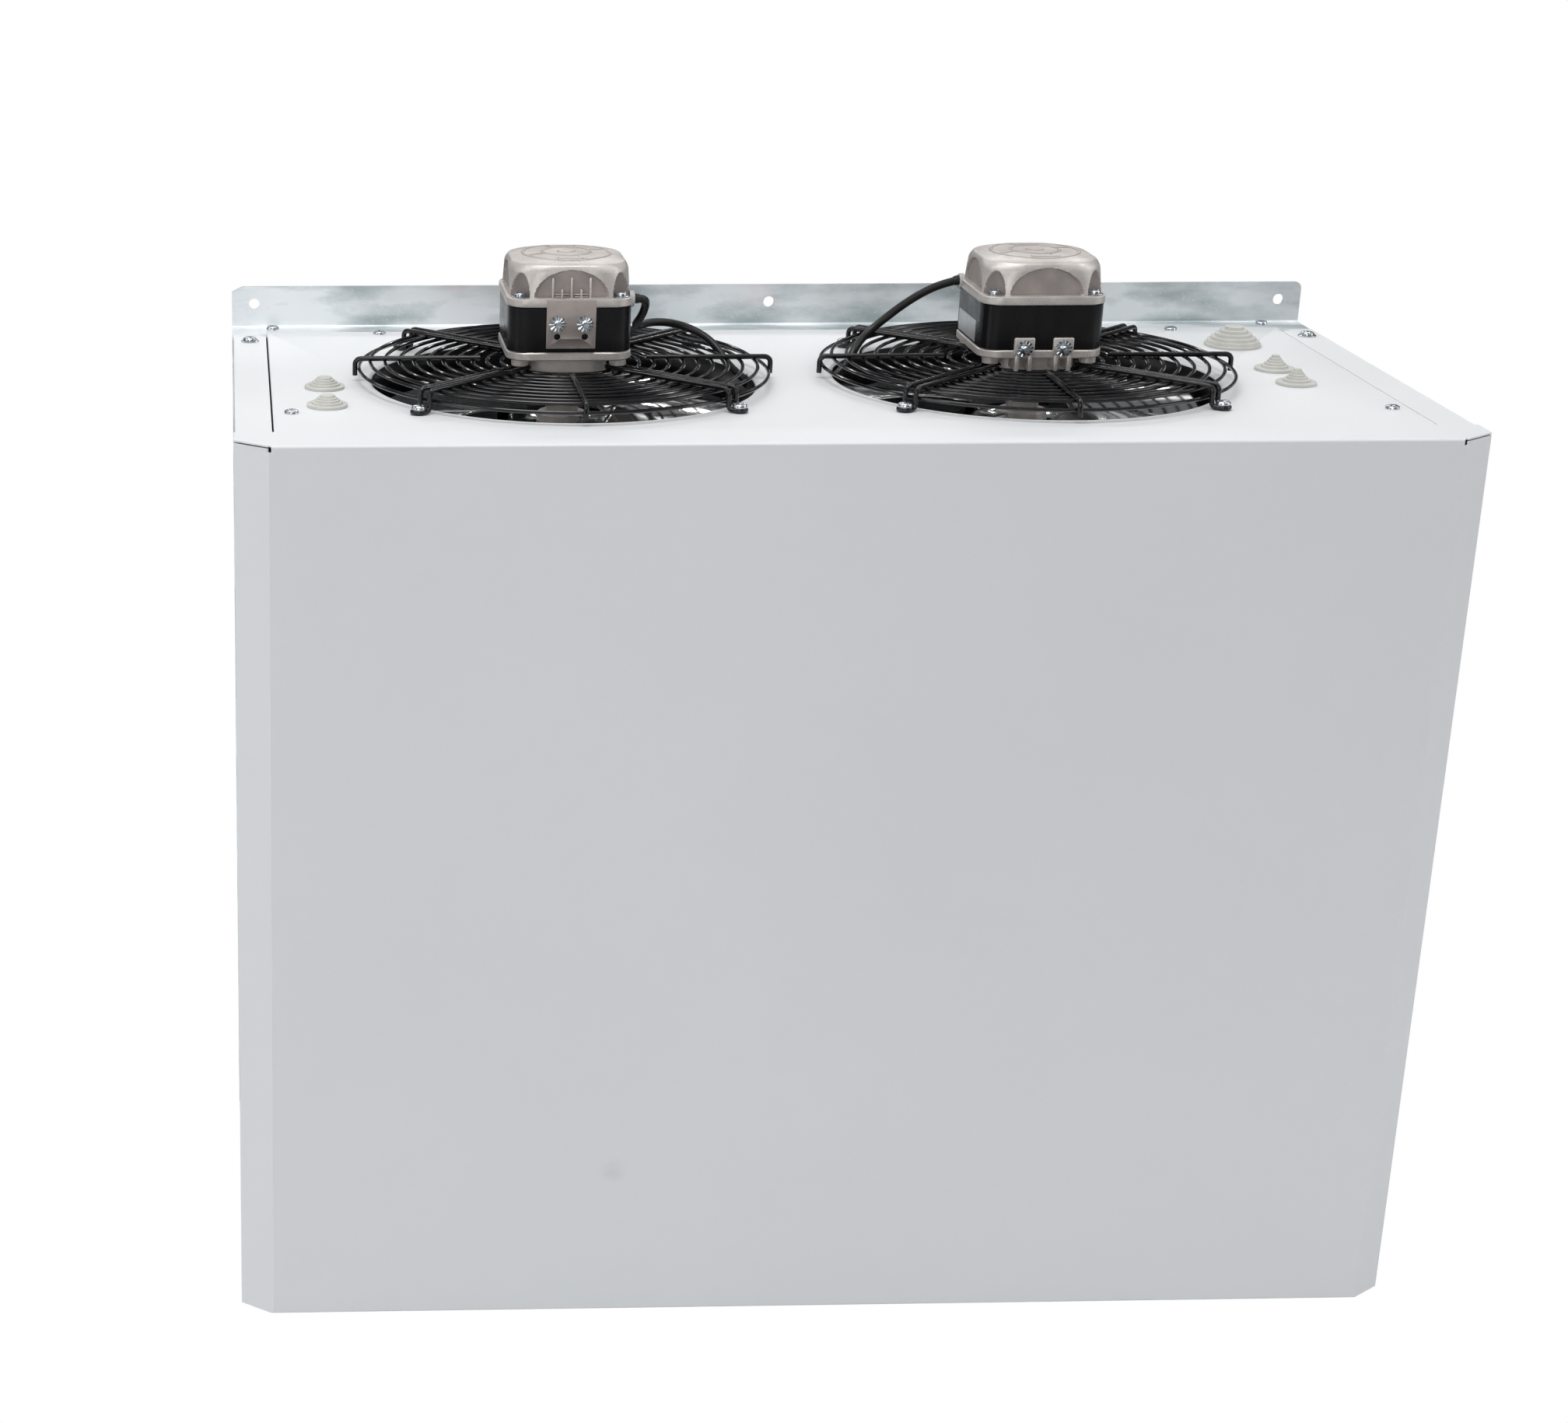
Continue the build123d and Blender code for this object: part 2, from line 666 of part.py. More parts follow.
def motor_cover():
    """Die-cast top end shield: lip, tapered body with corner scallops and arches, ribs and a flap."""
    cover = rounded_block(cover_lip_size, flange_corner, cover_z, cover_body_z)
    crown_size = cover_top_size - 5 * cover_crown
    cap_size = crown_size - 15 * cover_cap
    crown_z = cover_top_z + cover_crown
    rows = [
        (cover_base_size, cover_corner, cover_body_z), (cover_top_size, cover_round * cover_top_size, cover_top_z),
        (crown_size, cover_round * crown_size, crown_z), (cap_size, cover_round * cap_size, crown_z + cover_cap),
    ]
    for (size, corner, z0), (top_size, top_corner, z1) in zip(rows, rows[1:]):
        cover += rounded_block(size, corner, z0, z1, top_size, top_corner)
    half = motor_screw_spacing / 2
    for sx in (-1, 1):
        for sy in (-1, 1):
            turn = math.degrees(math.atan2(sy, sx))
            scallop = Pos(scallop_reach, 0, scallop_height / 4) * Cylinder(scallop_radius, 1.5 * scallop_height)
            scallop = Rot(0, -scallop_tilt, 0) * scallop & block(-30, 60, -30, 30, 0, 2 * scallop_height)
            cover -= Pos(sx * half, sy * half, cover_body_z) * Rot(0, 0, turn) * scallop
    arch = Pos(0, -cover_base_size / 2, cover_body_z) * Rot(90, 0, 0) * Cylinder(arch_radius, 2 * arch_depth)
    arch &= block(-arch_radius, arch_radius, -cover_base_size, 0, cover_body_z, cover_body_z + arch_share * arch_radius)
    for quarter in range(4):
        cover -= Rot(0, 0, 90 * quarter) * arch
    cover += motor_flap()
    return cover - rod(shaft_radius + running_clearance, 0, 0, cover_z - 1, cover_body_z + 6)


def motor_flap():
    """Plate that hangs over the stator from the cover's lip, with ribs above it."""
    face_y = cover_lip_size / 2
    flap = block(-flap_width / 2, flap_width / 2, face_y - 1.0, face_y - 1.0 + flap_sheet,
                 cover_z - flap_drop, cover_body_z)
    for x in (-12.5, 0.0, 12.5):
        flap += block(x - 0.8, x + 0.8, face_y - 8, face_y - 0.8, cover_body_z - 0.5, cover_body_z + 15.5)
    return flap


def rotor():
    """Rotor core on its shaft, which runs down through the fan hub."""
    core = faceted(rotor_radius, rotor_sides, stator_z + 1.5, cover_z - 1.5)
    return core + rod(shaft_radius, 0, 0, -disc_drop - shaft_end, cover_body_z + 5.5)


def motor_screws():
    """Heads of the screws in the cover's corners and the flap, and the nuts on the lugs."""
    half = motor_screw_spacing / 2
    heads = [Pos(sx * half, sy * half, cover_body_z) * screw_head(4.2) for sx in (-1, 1) for sy in (-1, 1)]
    face_y = cover_lip_size / 2 - 1.0 + flap_sheet
    for s in (-1, 1):
        at_flap = Pos(s * flap_screw_spacing / 2, face_y, cover_z - flap_drop + 16.8)
        at_lug = Pos(s * lug_pitch / 2, -flange_size / 2 - lug_stand_out, neck_foot_z + lug_height - 7.0)
        heads += [at_flap * Rot(-90, 0, 0) * screw_head(4.8), at_lug * Rot(90, 0, 0) * screw_head(3.6)]
    return heads


def arm_screws():
    """Screws under the guard arms, below the motor's bosses."""
    half = boss_spacing / 2
    head = Rot(180, 0, 0) * screw_head(arm_screw_head_radius)
    return [Pos(sx * half, sy * half, spoke_top - spoke_wire) * head for sx in (-1, 1) for sy in (-1, 1)]


def fan_hub():
    """Hub on the shaft, standing on the impeller's disc."""
    hub = rod(hub_neck_radius, 0, 0, -disc_drop + hub_flange, -hub_top_drop)
    hub += rod(hub_radius, 0, 0, -disc_drop, -disc_drop + hub_flange)
    return hub - rod(shaft_radius, 0, 0, -disc_drop - 1, -hub_top_drop + 1)


def blade():
    """Pressed blade: a cambered strip at a pitch, trimmed to a swept outline in plan."""
    reach = impeller_radius + 10
    shell = Cylinder(blade_camber_radius, reach) - Cylinder(blade_camber_radius - blade_sheet, reach + 2)
    shell = Pos(reach / 2, 0, 0) * Rot(0, 90, 0) * shell
    strip = Pos(0, 0, -blade_camber_radius + blade_sheet / 2) * shell
    strip &= block(0, reach, -80, 80, -60, 5)
    strip = Rot(blade_pitch, 0, 0) * strip
    root, tip = blade_root_angle / 2, blade_tip_angle / 2

    def at(radius, angle):
        turn = math.radians(angle)
        return radius * math.cos(turn), radius * math.sin(turn)

    start, end = at(blade_root_radius, -root), at(blade_root_radius, root)
    tip_end, tip_start = at(impeller_radius, tip + blade_sweep), at(impeller_radius, -tip + blade_sweep)
    outline = (
        RadiusArc(start, end, -blade_root_radius) + RadiusArc(end, tip_end, 160)
        + RadiusArc(tip_end, tip_start, impeller_radius) + RadiusArc(tip_start, start, -130)
    )
    prism = extrude(Pos(0, 0, -60) * make_face(outline), 90)
    return strip & prism


def impeller():
    """One-piece pressed impeller: a flat disc with its blades."""
    wheel = rod(disc_radius, 0, 0, -blade_sheet, 0)
    for i in range(blade_count):
        wheel += Rot(0, 0, i * 360 / blade_count) * Pos(0, 0, blade_lift) * blade()
    return Pos(0, 0, -disc_drop) * (wheel - rod(shaft_radius, 0, 0, -5, 5))


# Motor leads -------------------------------------------------------------------------------------


def lead_points(side):
    x, y, _ = fans[side]
    return [Vector(x + px, y + py, deck_z + pz) for px, py, pz in lead_routes[side]]


def lead_path(side):
    """Straight runs joined by arcs as large as the runs allow."""
    points = lead_points(side)
    radii = []
    for before, corner, after in zip(points, points[1:], points[2:]):
        turn = (corner - before).get_angle(after - corner)
        shorter = min((corner - before).length, (after - corner).length)
        radii.append(0.45 * shorter / math.tan(math.radians(turn / 2)))
    print("lead", side, "radii", [round(r, 1) for r in radii])
    return FilletPolyline(*points, radius=radii)


def lead(side):
    path = lead_path(side)
    tube = sweep((path ^ 0) * Circle(lead_radius), path)
    section = math.pi * lead_radius ** 2
    print("lead", side, "length", round(path.length, 1), "volume ratio", round(tube.volume / (section * path.length), 4))
    return tube


def strain_relief(side):
    """Moulded bush in the cover's side, from which the lead leaves."""
    x, y, _ = fans[side]
    start, after = lead_points(side)[:2]
    s = 1 if start.X > x else -1
    face_x = x + s * cover_lip_size / 2
    nose = Plane(origin=start, z_dir=(after - start).normalized()) * extrude(Circle(relief_nose_radius), -6.0)
    nose &= block(*sorted((face_x, face_x + s * 40)), y - 80, y + 80, deck_z, deck_z + 90)
    collar = Pos(face_x + s * 1.4, start.Y, start.Z) * Rot(0, 90, 0) * Cylinder(relief_radius, 2.8)
    return collar + nose


def bush_axis(side):
    """Place of the throat bush, on the lead's last run, with Z along the lead."""
    before, end = lead_points(side)[-2:]
    along = (end - before).normalized()
    return Pos(*(end + along * bush_inside / 2)) * Plane(origin=(0, 0, 0), z_dir=along).location


def lead_bush(side):
    """Rubber bush that takes the lead through the collar of the throat, below the deck."""
    x, y, _ = fans[side]
    wall = Pos(x, y, deck_z) * bell_mouth()
    sleeve = bush_axis(side) * Cylinder(bush_radius, bush_inside)
    inner = (sleeve - wall).solids()
    neck = bush_axis(side) * Cylinder(bush_neck_radius, bush_inside)
    return Compound(children=inner).fuse(neck) if len(inner) > 1 else sleeve - wall + neck


# Writing the sub-parts -----------------------------------------------------------------------------


def write(node, shapes):
    """Writes one node from a shape, or from several separate solids."""
    solids = [s for shape in (shapes if isinstance(shapes, (list, tuple)) else [shapes]) for s in shape.solids()]
    export_step(solids[0] if len(solids) == 1 else Compound(children=solids), f"parts/{node}.step")


def write_casing():
    write("drain_pan", drain_pan())
    write("fan_plate", fan_plate())
    write("back_panel", back_panel())
    write("bracket_deck_end", bracket(1))
    write("bracket_outlet_end", bracket(-1))
    for side in sides:
        write(f"side_panel_{side}", side_panel(side))
        write(f"partition_{side}", partition(side))
    write("casing_screws", casing_screws())
    write("grommets_left", grommets(0, 2, 7.6, 5, 5.0))
    write("grommet_large", grommets(2, 3, 14.0, 6, 6.5))
    write("grommets_right", grommets(3, 5, 10.5, 6, 2.5))
    write("drain_socket", drain_socket())
    box, lid = terminal_box()
    write("terminal_box", box)
    write("terminal_box_lid", lid)


def write_coil():
    write("coil_fins", coil_fins())
    write("coil_tubes", coil_tubes())
    for side in sides:
        write(f"return_bends_{side}", return_bends(side))
    write("suction_line", suction_line())
    write("liquid_line", liquid_line())


def write_fan(side):
    x, y, turn = fans[side]
    guard_at = Pos(x, y, deck_z)
    motor_at = guard_at * Rot(0, 0, turn)
    pieces = {
        "guard_rings": guard_rings(), "guard_spokes": guard_spokes(), "guard_arms": guard_arms(),
        "guard_screws": guard_screws(), "motor_base": [motor_base()], "motor_stator": [stator()],
        "motor_cover": [motor_cover()], "motor_screws": motor_screws(), "arm_screws": arm_screws(),
        "motor_rotor": [rotor()], "fan_hub": [fan_hub()], "impeller": [impeller()],
    }
    for name, shapes in pieces.items():
        place = guard_at if name.startswith("guard") else motor_at
        write(f"{name}_{side}", [place * shape for shape in shapes])
    write(f"motor_lead_{side}", lead(side))
    write(f"strain_relief_{side}", strain_relief(side))
    write(f"lead_bush_{side}", lead_bush(side))


os.makedirs("parts", exist_ok=True)
write_casing()
write_coil()
for fan_side in fans:
    write_fan(fan_side)
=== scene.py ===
import json
import math

import bmesh
import bpy
from mathutils import Matrix, Vector


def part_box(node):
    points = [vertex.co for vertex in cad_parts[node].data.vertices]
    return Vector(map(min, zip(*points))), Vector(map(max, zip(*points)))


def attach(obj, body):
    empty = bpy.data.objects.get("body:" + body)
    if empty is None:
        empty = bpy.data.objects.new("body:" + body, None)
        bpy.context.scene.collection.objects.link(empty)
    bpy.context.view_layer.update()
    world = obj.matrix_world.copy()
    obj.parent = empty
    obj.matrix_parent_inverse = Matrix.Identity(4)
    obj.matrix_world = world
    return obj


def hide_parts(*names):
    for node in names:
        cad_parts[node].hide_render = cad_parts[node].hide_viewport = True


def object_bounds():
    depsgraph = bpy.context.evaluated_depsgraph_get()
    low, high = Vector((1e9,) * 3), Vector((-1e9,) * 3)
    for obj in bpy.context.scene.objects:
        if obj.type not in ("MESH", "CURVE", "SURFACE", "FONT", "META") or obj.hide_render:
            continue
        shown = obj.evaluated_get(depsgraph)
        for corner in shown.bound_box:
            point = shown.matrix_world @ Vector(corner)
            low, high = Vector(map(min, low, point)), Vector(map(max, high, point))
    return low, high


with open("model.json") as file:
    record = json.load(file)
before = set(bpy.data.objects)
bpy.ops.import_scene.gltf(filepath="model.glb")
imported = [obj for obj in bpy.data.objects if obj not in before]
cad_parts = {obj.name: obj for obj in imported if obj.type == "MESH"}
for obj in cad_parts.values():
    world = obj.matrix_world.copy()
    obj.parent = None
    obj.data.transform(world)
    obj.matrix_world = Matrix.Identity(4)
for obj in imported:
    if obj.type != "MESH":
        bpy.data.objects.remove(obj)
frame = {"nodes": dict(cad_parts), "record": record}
cad_low, cad_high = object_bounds()

bl_info = {
    "name": "Twin-fan unit cooler",
    "version": (1, 0, 0),
    "blender": (4, 5, 0),
    "location": "3D View > Sidebar > Unit cooler",
    "description": "Builds the finished look of a twin-fan unit cooler round its CAD frame",
    "category": "Object",
}

MM = 0.001
SIDES = ("left", "right")


# Sizes ---------------------------------------------------------------------------------------


def length(name, description, millimetres):
    return bpy.props.FloatProperty(name=name, description=description, default=millimetres * MM,
                                   unit="LENGTH")


def count(name, description, number):
    return bpy.props.IntProperty(name=name, description=description, default=number, min=1)


class GuardSizes(bpy.types.PropertyGroup):
    """Wire sizes of the fan guards, measured from the fan axis and the deck."""

    ring_wire: length("Ring wire", "Radius of the ring wire", 1.25)
    spoke_wire: length("Spoke wire", "Radius of the spoke and arm wire", 1.75)
    outer_ring: length("Outer ring", "Radius of the widest ring", 132.0)
    ring_pitch: length("Ring pitch", "Distance between neighbouring rings", 10.0)
    ring_count: count("Rings", "Number of rings in one guard", 10)
    rim_height: length("Rim height", "Height of the lower ring above the deck", 8.0)
    spoke_height: length("Spoke height", "Height of the spokes' centre line above the deck", 15.1)
    spoke_start: length("Spoke start", "Radius at which a single spoke starts", 57.0)
    spoke_tip: length("Spoke tip", "Radius at which spokes and arms turn down", 142.5)
    spoke_end: length("Spoke end", "Height of a single spoke's free end", 3.7)
    bend: length("Bend", "Centre line radius of the bends", 4.0)
    arm_start: length("Arm start", "Radius at which a double arm starts", 39.0)
    arm_gap: length("Arm gap", "Distance between the two wires of an arm", 8.0)
    foot: length("Foot", "Radius of the fan axis at which the foot screws stand", 148.6)


class MotorSizes(bpy.types.PropertyGroup):
    """Sizes of the shaded-pole fan motors, measured from the fan axis and the deck."""

    neck: length("Neck", "Half width of the base's neck", 27.5)
    neck_corner: length("Neck corner", "Corner radius of the neck and the stator", 12.0)
    neck_low: length("Neck foot", "Height of the neck's underside", 10.4)
    flange_low: length("Flange underside", "Height of the base flange's underside", 21.4)
    flange: length("Flange", "Half width of the base flange", 42.2)
    flange_corner: length("Flange corner", "Corner radius of the flange and the cover lip", 14.0)
    stator_low: length("Stator underside", "Height at which the stator starts", 27.0)
    stator: length("Stator", "Half width of the stator", 41.5)
    cover_low: length("Cover underside", "Height at which the cover's lip starts", 57.3)
    cover_lip: length("Cover lip", "Half width of the cover's lip", 42.5)
    body_low: length("Body foot", "Height at which the cover's body starts", 63.0)
    body: length("Body", "Half width of the cover's body at its foot", 40.8)
    body_corner: length("Body corner", "Corner radius of the cover's body", 19.0)
    body_draft: length("Body draft", "How far the cover's sides lean in up to where they curve", 0.7)
    body_top: length("Body top", "Half width of the cover's body at its shoulder", 38.6)
    top_corner: length("Top corner", "Corner radius of the cover at its shoulder", 26.0)
    turn_in: length("Turn in", "Height at which the cover's sides start to curve inwards", 79.0)
    shoulder: length("Shoulder", "Height of the edge between the cover's sides and top", 84.0)
    dome: length("Dome", "Rise of the cover's top above its shoulder", 3.7)
    screw_spacing: length("Screw spacing", "Distance between the cover's corner screws", 67.4)
    scallop: length("Scallop", "Radius of the scallop round a corner screw", 8.4)
    scallop_height: length("Scallop height", "Height of that scallop", 17.5)
    arch: length("Arch", "Half width of the flat arch in each side", 24.5)
    arch_height: length("Arch height", "Height of that arch", 18.0)
    arch_depth: length("Arch depth", "How far the arch's floor lies inside the body's foot", 2.2)
    flap: length("Flap", "Half width of the terminal flap", 16.5)
    flap_drop: length("Flap drop", "How far the flap hangs below the cover", 27.2)
    flap_sheet: length("Flap sheet", "Thickness of the flap", 2.4)
    flap_step: length("Flap step", "How far the flap stands out from the cover's lip", 1.4)
    flap_screws: length("Flap screws", "Distance between the flap's screws", 18.5)
    lug_pitch: length("Lug pitch", "Distance between the base's two lugs", 26.4)
    lug_width: length("Lug width", "Width of a lug", 14.0)
    lug_top: length("Lug top", "Height of a lug's top", 35.7)
    lug_step: length("Lug step", "How far a lug stands out from the flange", 2.3)


class FanSizes(bpy.types.PropertyGroup):
    """Sizes of the pressed impellers, measured from the fan axis and the deck."""

    tip: length("Tip", "Radius of the impeller", 127.0)
    root: length("Root", "Radius at which a blade starts", 34.0)
    disc: length("Disc", "Radius of the middle disc", 44.0)
    disc_drop: length("Disc drop", "How far the disc lies below the deck", 28.0)
    sheet: length("Sheet", "Thickness of the pressed sheet", 1.5)
    camber: length("Camber", "Radius of the blade's curve", 95.0)
    lift: length("Lift", "Height of the blade's middle above the disc", 4.0)
    pitch: bpy.props.FloatProperty(name="Pitch", description="Pitch of the blades",
                                   default=math.radians(27), unit="ROTATION")
    blades: count("Blades", "Number of blades", 5)


class CasingSizes(bpy.types.PropertyGroup):
    """Sizes of the deck, its throats, and what stands on it."""

    sheet: length("Sheet", "Thickness of the painted sheet", 1.0)
    fold: length("Fold", "Depth of the deck's folded edges", 12.0)
    throat: length("Throat", "Radius of the fan opening", 131.0)
    bell: length("Bell", "Radius of the opening's rolled lip", 3.0)
    collar: length("Collar", "Depth of the throat's collar", 26.0)
    lead: length("Lead", "Radius of the motor leads", 2.8)


def sizes(name):
    return getattr(bpy.context.scene, "cooler_" + name)


def deck_height():
    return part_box("fan_plate")[1].z


def fan_place(side, turned=False):
    """Matrix of a fan's axis on the deck. Motors stand half a turn apart."""
    low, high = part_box("fan_hub_" + side)
    place = Matrix.Translation(((low.x + high.x) / 2, (low.y + high.y) / 2, deck_height()))
    return place @ Matrix.Rotation(math.pi, 4, "Z") if turned and side == "left" else place


def quarter(turns):
    """A turn about Z by a number of quarter turns."""
    return Matrix.Rotation(math.tau * turns / 4, 4, "Z")


# Shapes --------------------------------------------------------------------------------------


def polar(reach, angle, rise=0.0):
    """The point at a distance from the Z axis, in the direction of the angle, at a height."""
    return Vector((reach * math.cos(angle), reach * math.sin(angle), rise))


def surface(bm, across, along, place):
    """Adds a grid of across by along faces, each corner set by place(u, v) with both from 0 to 1."""
    made = bmesh.ops.create_grid(bm, x_segments=across, y_segments=along, size=0.5)["verts"]
    low_x, high_x = min(v.co.x for v in made), max(v.co.x for v in made)
    low_y, high_y = min(v.co.y for v in made), max(v.co.y for v in made)
    for vert in made:
        u = (vert.co.x - low_x) / (high_x - low_x)
        v = (vert.co.y - low_y) / (high_y - low_y)
        vert.co = place(u, v)
    return made


def weld(bm, verts, cap=True):
    """Joins coincident corners, then closes what is still open."""
    bmesh.ops.remove_doubles(bm, verts=[v for v in verts if v.is_valid], dist=1e-6)
    if cap:
        rim = [e for e in bm.edges if e.is_boundary]
        if rim:
            bmesh.ops.holes_fill(bm, edges=rim, sides=0)


def turned(bm, profile, segments=48, place=Matrix()):
    """Adds a lathe shape from a profile of (radius, height) pairs."""
    last = len(profile) - 1

    def at(u, v):
        radius, height = profile[round(v * last)]
        return place @ polar(radius, math.tau * u, height)

    weld(bm, surface(bm, segments, last, at))


def rounded(points, radii, closed=False, steps=5):
    """The points with every inner corner turned into an arc of its radius."""
    points = [Vector(p) for p in points]
    total = len(points)
    straight = math.radians(89.5)
    radii = radii if isinstance(radii, (list, tuple)) else [radii] * total
    path = []
    for i, point in enumerate(points):
        if not closed and i in (0, total - 1):
            path.append(point)
            continue
        before = (points[i - 1] - point).normalized()
        after = (points[(i + 1) % total] - point).normalized()
        half = before.angle(after) / 2
        if radii[i] <= 0 or half > straight:
            path.append(point)
            continue
        centre = point + (before + after).normalized() * radii[i] / math.sin(half)
        start = point + before * radii[i] / math.tan(half) - centre
        end = point + after * radii[i] / math.tan(half) - centre
        sweep = start.angle(end)
        for k in range(steps + 1):
            t = k / steps
            arc = start * math.sin((1 - t) * sweep) + end * math.sin(t * sweep)
            path.append(centre + arc / math.sin(sweep))
    return path


def carried_frames(path, closed):
    """Centre and two side directions at each point, turned as little as possible along the path."""
    if closed:
        path = path + [path[0]]
    total = len(path)
    frames = []
    side = None
    for i, point in enumerate(path):
        ahead = path[1] if closed and i == total - 1 else path[min(i + 1, total - 1)]
        behind = path[-2] if closed and i == 0 else path[max(i - 1, 0)]
        along = (ahead - behind).normalized()
        if side is None:
            side = along.orthogonal().normalized()
        side = (side - along * side.dot(along)).normalized()
        frames.append([point, side, along])
    twist = 0.0
    if closed:
        first, last = frames[0][1], frames[-1][1]
        twist = math.atan2(last.cross(first).dot(frames[0][2]), last.dot(first))
    for i, (point, side, along) in enumerate(frames):
        side = Matrix.Rotation(twist * i / (total - 1), 3, along) @ side
        frames[i] = (point, side, along.cross(side))
    return frames


def wire(bm, path, radius, place, closed=False, sides=12):
    """Adds a round wire along a path."""
    frames = carried_frames(path, closed)
    last = len(frames) - 1

    def at(u, v):
        centre, side, up = frames[round(v * last)]
        return place @ (centre + (side * math.cos(math.tau * u) + up * math.sin(math.tau * u)) * radius)

    weld(bm, surface(bm, sides, last, at))


def ring(bm, radius, height, thickness, place, segments=112, sides=10):
    """Adds a round wire ring about the Z axis of place."""

    def at(u, v):
        reach = radius + thickness * math.cos(math.tau * u)
        return place @ polar(reach, math.tau * v, height + thickness * math.sin(math.tau * u))

    weld(bm, surface(bm, sides, segments, at))


def square_reach(angle, half, corner):
    """Distance from the middle of a rounded square to its edge in the direction of the angle."""
    c, s = abs(math.cos(angle)), abs(math.sin(angle))
    if c < s:
        c, s = s, c
    if half * s / c <= half - corner:
        return half / c
    inner = half - corner
    dot = inner * (c + s)
    return dot + math.sqrt(max(dot * dot - 2 * inner * inner + corner * corner, 0.0))


def rounded_block(bm, rows, place, segments=120):
    """Adds a closed block of rounded squares: rows of (height, half width, corner radius)."""
    rows = [(rows[0][0], 0.0, 0.0)] + rows + [(rows[-1][0], 0.0, 0.0)]
    last = len(rows) - 1

    def at(u, v):
        height, half, corner = rows[round(v * last)]
        reach = square_reach(math.tau * u, half, corner) if half else 0.0
        return place @ polar(reach, math.tau * u, height)

    weld(bm, surface(bm, segments, last, at))


def slab(low, high, half, corner, edge):
    """Rows of a rounded block with its lower and upper edges chamfered."""
    return [(low, half - edge, corner), (low + edge, half, corner),
            (high - edge, half, corner), (high, half - edge, corner)]


def soften(bm, verts, width, segments=2):
    """Rounds every edge of a solid that starts from these corners."""
    edges = list({e for v in verts for e in v.link_edges})
    bmesh.ops.bevel(bm, geom=edges, offset=width, offset_type="OFFSET", segments=segments, profile=0.5,
                    affect="EDGES", material=-1, clamp_overlap=True)


def soft_box(bm, low, high, edge, place, segments=2):
    """Adds a box between two corners, with its edges rounded."""
    low, high = Vector(low), Vector(high)
    middle = Matrix.Translation((low + high) / 2) @ Matrix.Diagonal((*(high - low), 1.0))
    soften(bm, bmesh.ops.create_cube(bm, size=1.0, matrix=place @ middle)["verts"], edge, segments)


def cross_head(bm, radius, height, place, washer=0.0):
    """Adds a pan-head screw with a cross recess, standing on the XY plane of place."""
    if washer:
        sheet = 0.9 * MM
        rim = [(0, 0), (washer, 0), (washer, sheet * 0.8), (washer - sheet * 0.4, sheet), (0, sheet)]
        turned(bm, rim, 40, place)
        place = place @ Matrix.Translation((0, 0, sheet))
    arm, width = radius * 0.52, radius * 0.12
    dome = [(1.0, 0.0), (1.0, 0.42), (0.96, 0.6), (0.86, 0.78), (0.7, 0.92)]

    def recess(angle):
        turn = (angle + math.pi / 4) % (math.pi / 2) - math.pi / 4
        return min(arm / math.cos(turn), width / max(abs(math.sin(turn)), 1e-6))

    rows = [lambda a: (0.0, 0.0)]
    rows += [lambda a, r=r, h=h: (radius * r, height * h) for r, h in dome]
    rows += [
        lambda a: (max(recess(a), radius * 0.15), height),
        lambda a: (recess(a) * 0.8, height * 0.45),
        lambda a: (0.0, height * 0.3),
    ]
    last = len(rows) - 1

    def at(u, v):
        reach, rise = rows[round(v * last)](math.tau * u)
        return place @ polar(reach, math.tau * u, rise)

    weld(bm, surface(bm, 48, last, at))


def hexagon(bm, radius, low, high, place):
    """Adds a nut with chamfered corners."""
    middle = place @ Matrix.Translation((0, 0, (low + high) / 2))
    made = bmesh.ops.create_cone(bm, cap_ends=True, segments=6, radius1=radius, radius2=radius,
                                 depth=high - low, matrix=middle)["verts"]
    soften(bm, made, radius * 0.08)


def edge_loop(bm, points):
    """Adds a closed loop of edges through the points."""
    verts = [bm.verts.new(point) for point in points]
    return [bm.edges.new((verts[i], verts[(i + 1) % len(verts)])) for i in range(len(verts))]


def pierced_sheet(bm, corners, holes, place):
    """Adds a flat sheet in the XY plane of place, with round holes of (x, y, radius, segments)."""
    edges = edge_loop(bm, [Vector((x, y, 0)) for x, y in corners])
    for x, y, radius, segments in holes:
        middle = Vector((x, y, 0))
        edges += edge_loop(bm, [middle + polar(radius, math.tau * i / segments) for i in range(segments)])
    faces = bmesh.ops.triangle_fill(bm, edges=edges, use_beauty=True, normal=(0, 0, 1))["geom"]
    faces = [f for f in faces if isinstance(f, bmesh.types.BMFace)]
    used = list({v for f in faces for v in f.verts})
    bmesh.ops.transform(bm, matrix=place, verts=used)
    return faces


def face_towards(faces, direction):
    """Turns over the faces that look away from the direction."""
    for face in faces:
        face.normal_update()
        if face.normal.dot(direction) < 0:
            face.normal_flip()


def piece(name, bm, material, body, replaces=(), slot=None, smooth=35.0, closed=True):
    """Makes the finished piece, rides it on its body and hides the CAD nodes that it stands for."""
    if closed:
        bmesh.ops.recalc_face_normals(bm, faces=bm.faces)
    mesh = bpy.data.meshes.new(name)
    bm.to_mesh(mesh)
    bm.free()
    mesh.polygons.foreach_set("use_smooth", [True] * len(mesh.polygons))
    mesh.set_sharp_from_angle(angle=math.radians(smooth))
    mesh.materials.append(bpy.data.materials["finish_" + material])
    made = bpy.data.objects.new(name, mesh)
    bpy.context.scene.collection.objects.link(made)
    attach(made, body)
    if replaces:
        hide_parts(*replaces)
    return made


def dressed(node, ending, bm, finish, body="casing", slot=None, **options):
    """Makes the finished piece that stands for one CAD node, named after it."""
    return piece(node + "_" + ending, bm, finish, body, [node], slot or finish, **options)


def thicken(made, thickness, bend=0.0, offset=-1.0):
    """Gives a sheet its thickness, as a rule away from its normal, after rounding its folds."""
    if bend:
        fold = made.modifiers.new("Folds", "BEVEL")
        fold.width = bend
        fold.segments = 3
        fold.limit_method = "ANGLE"
        fold.angle_limit = math.radians(50)
    sheet = made.modifiers.new("Sheet", "SOLIDIFY")
    sheet.thickness = thickness
    sheet.offset = offset


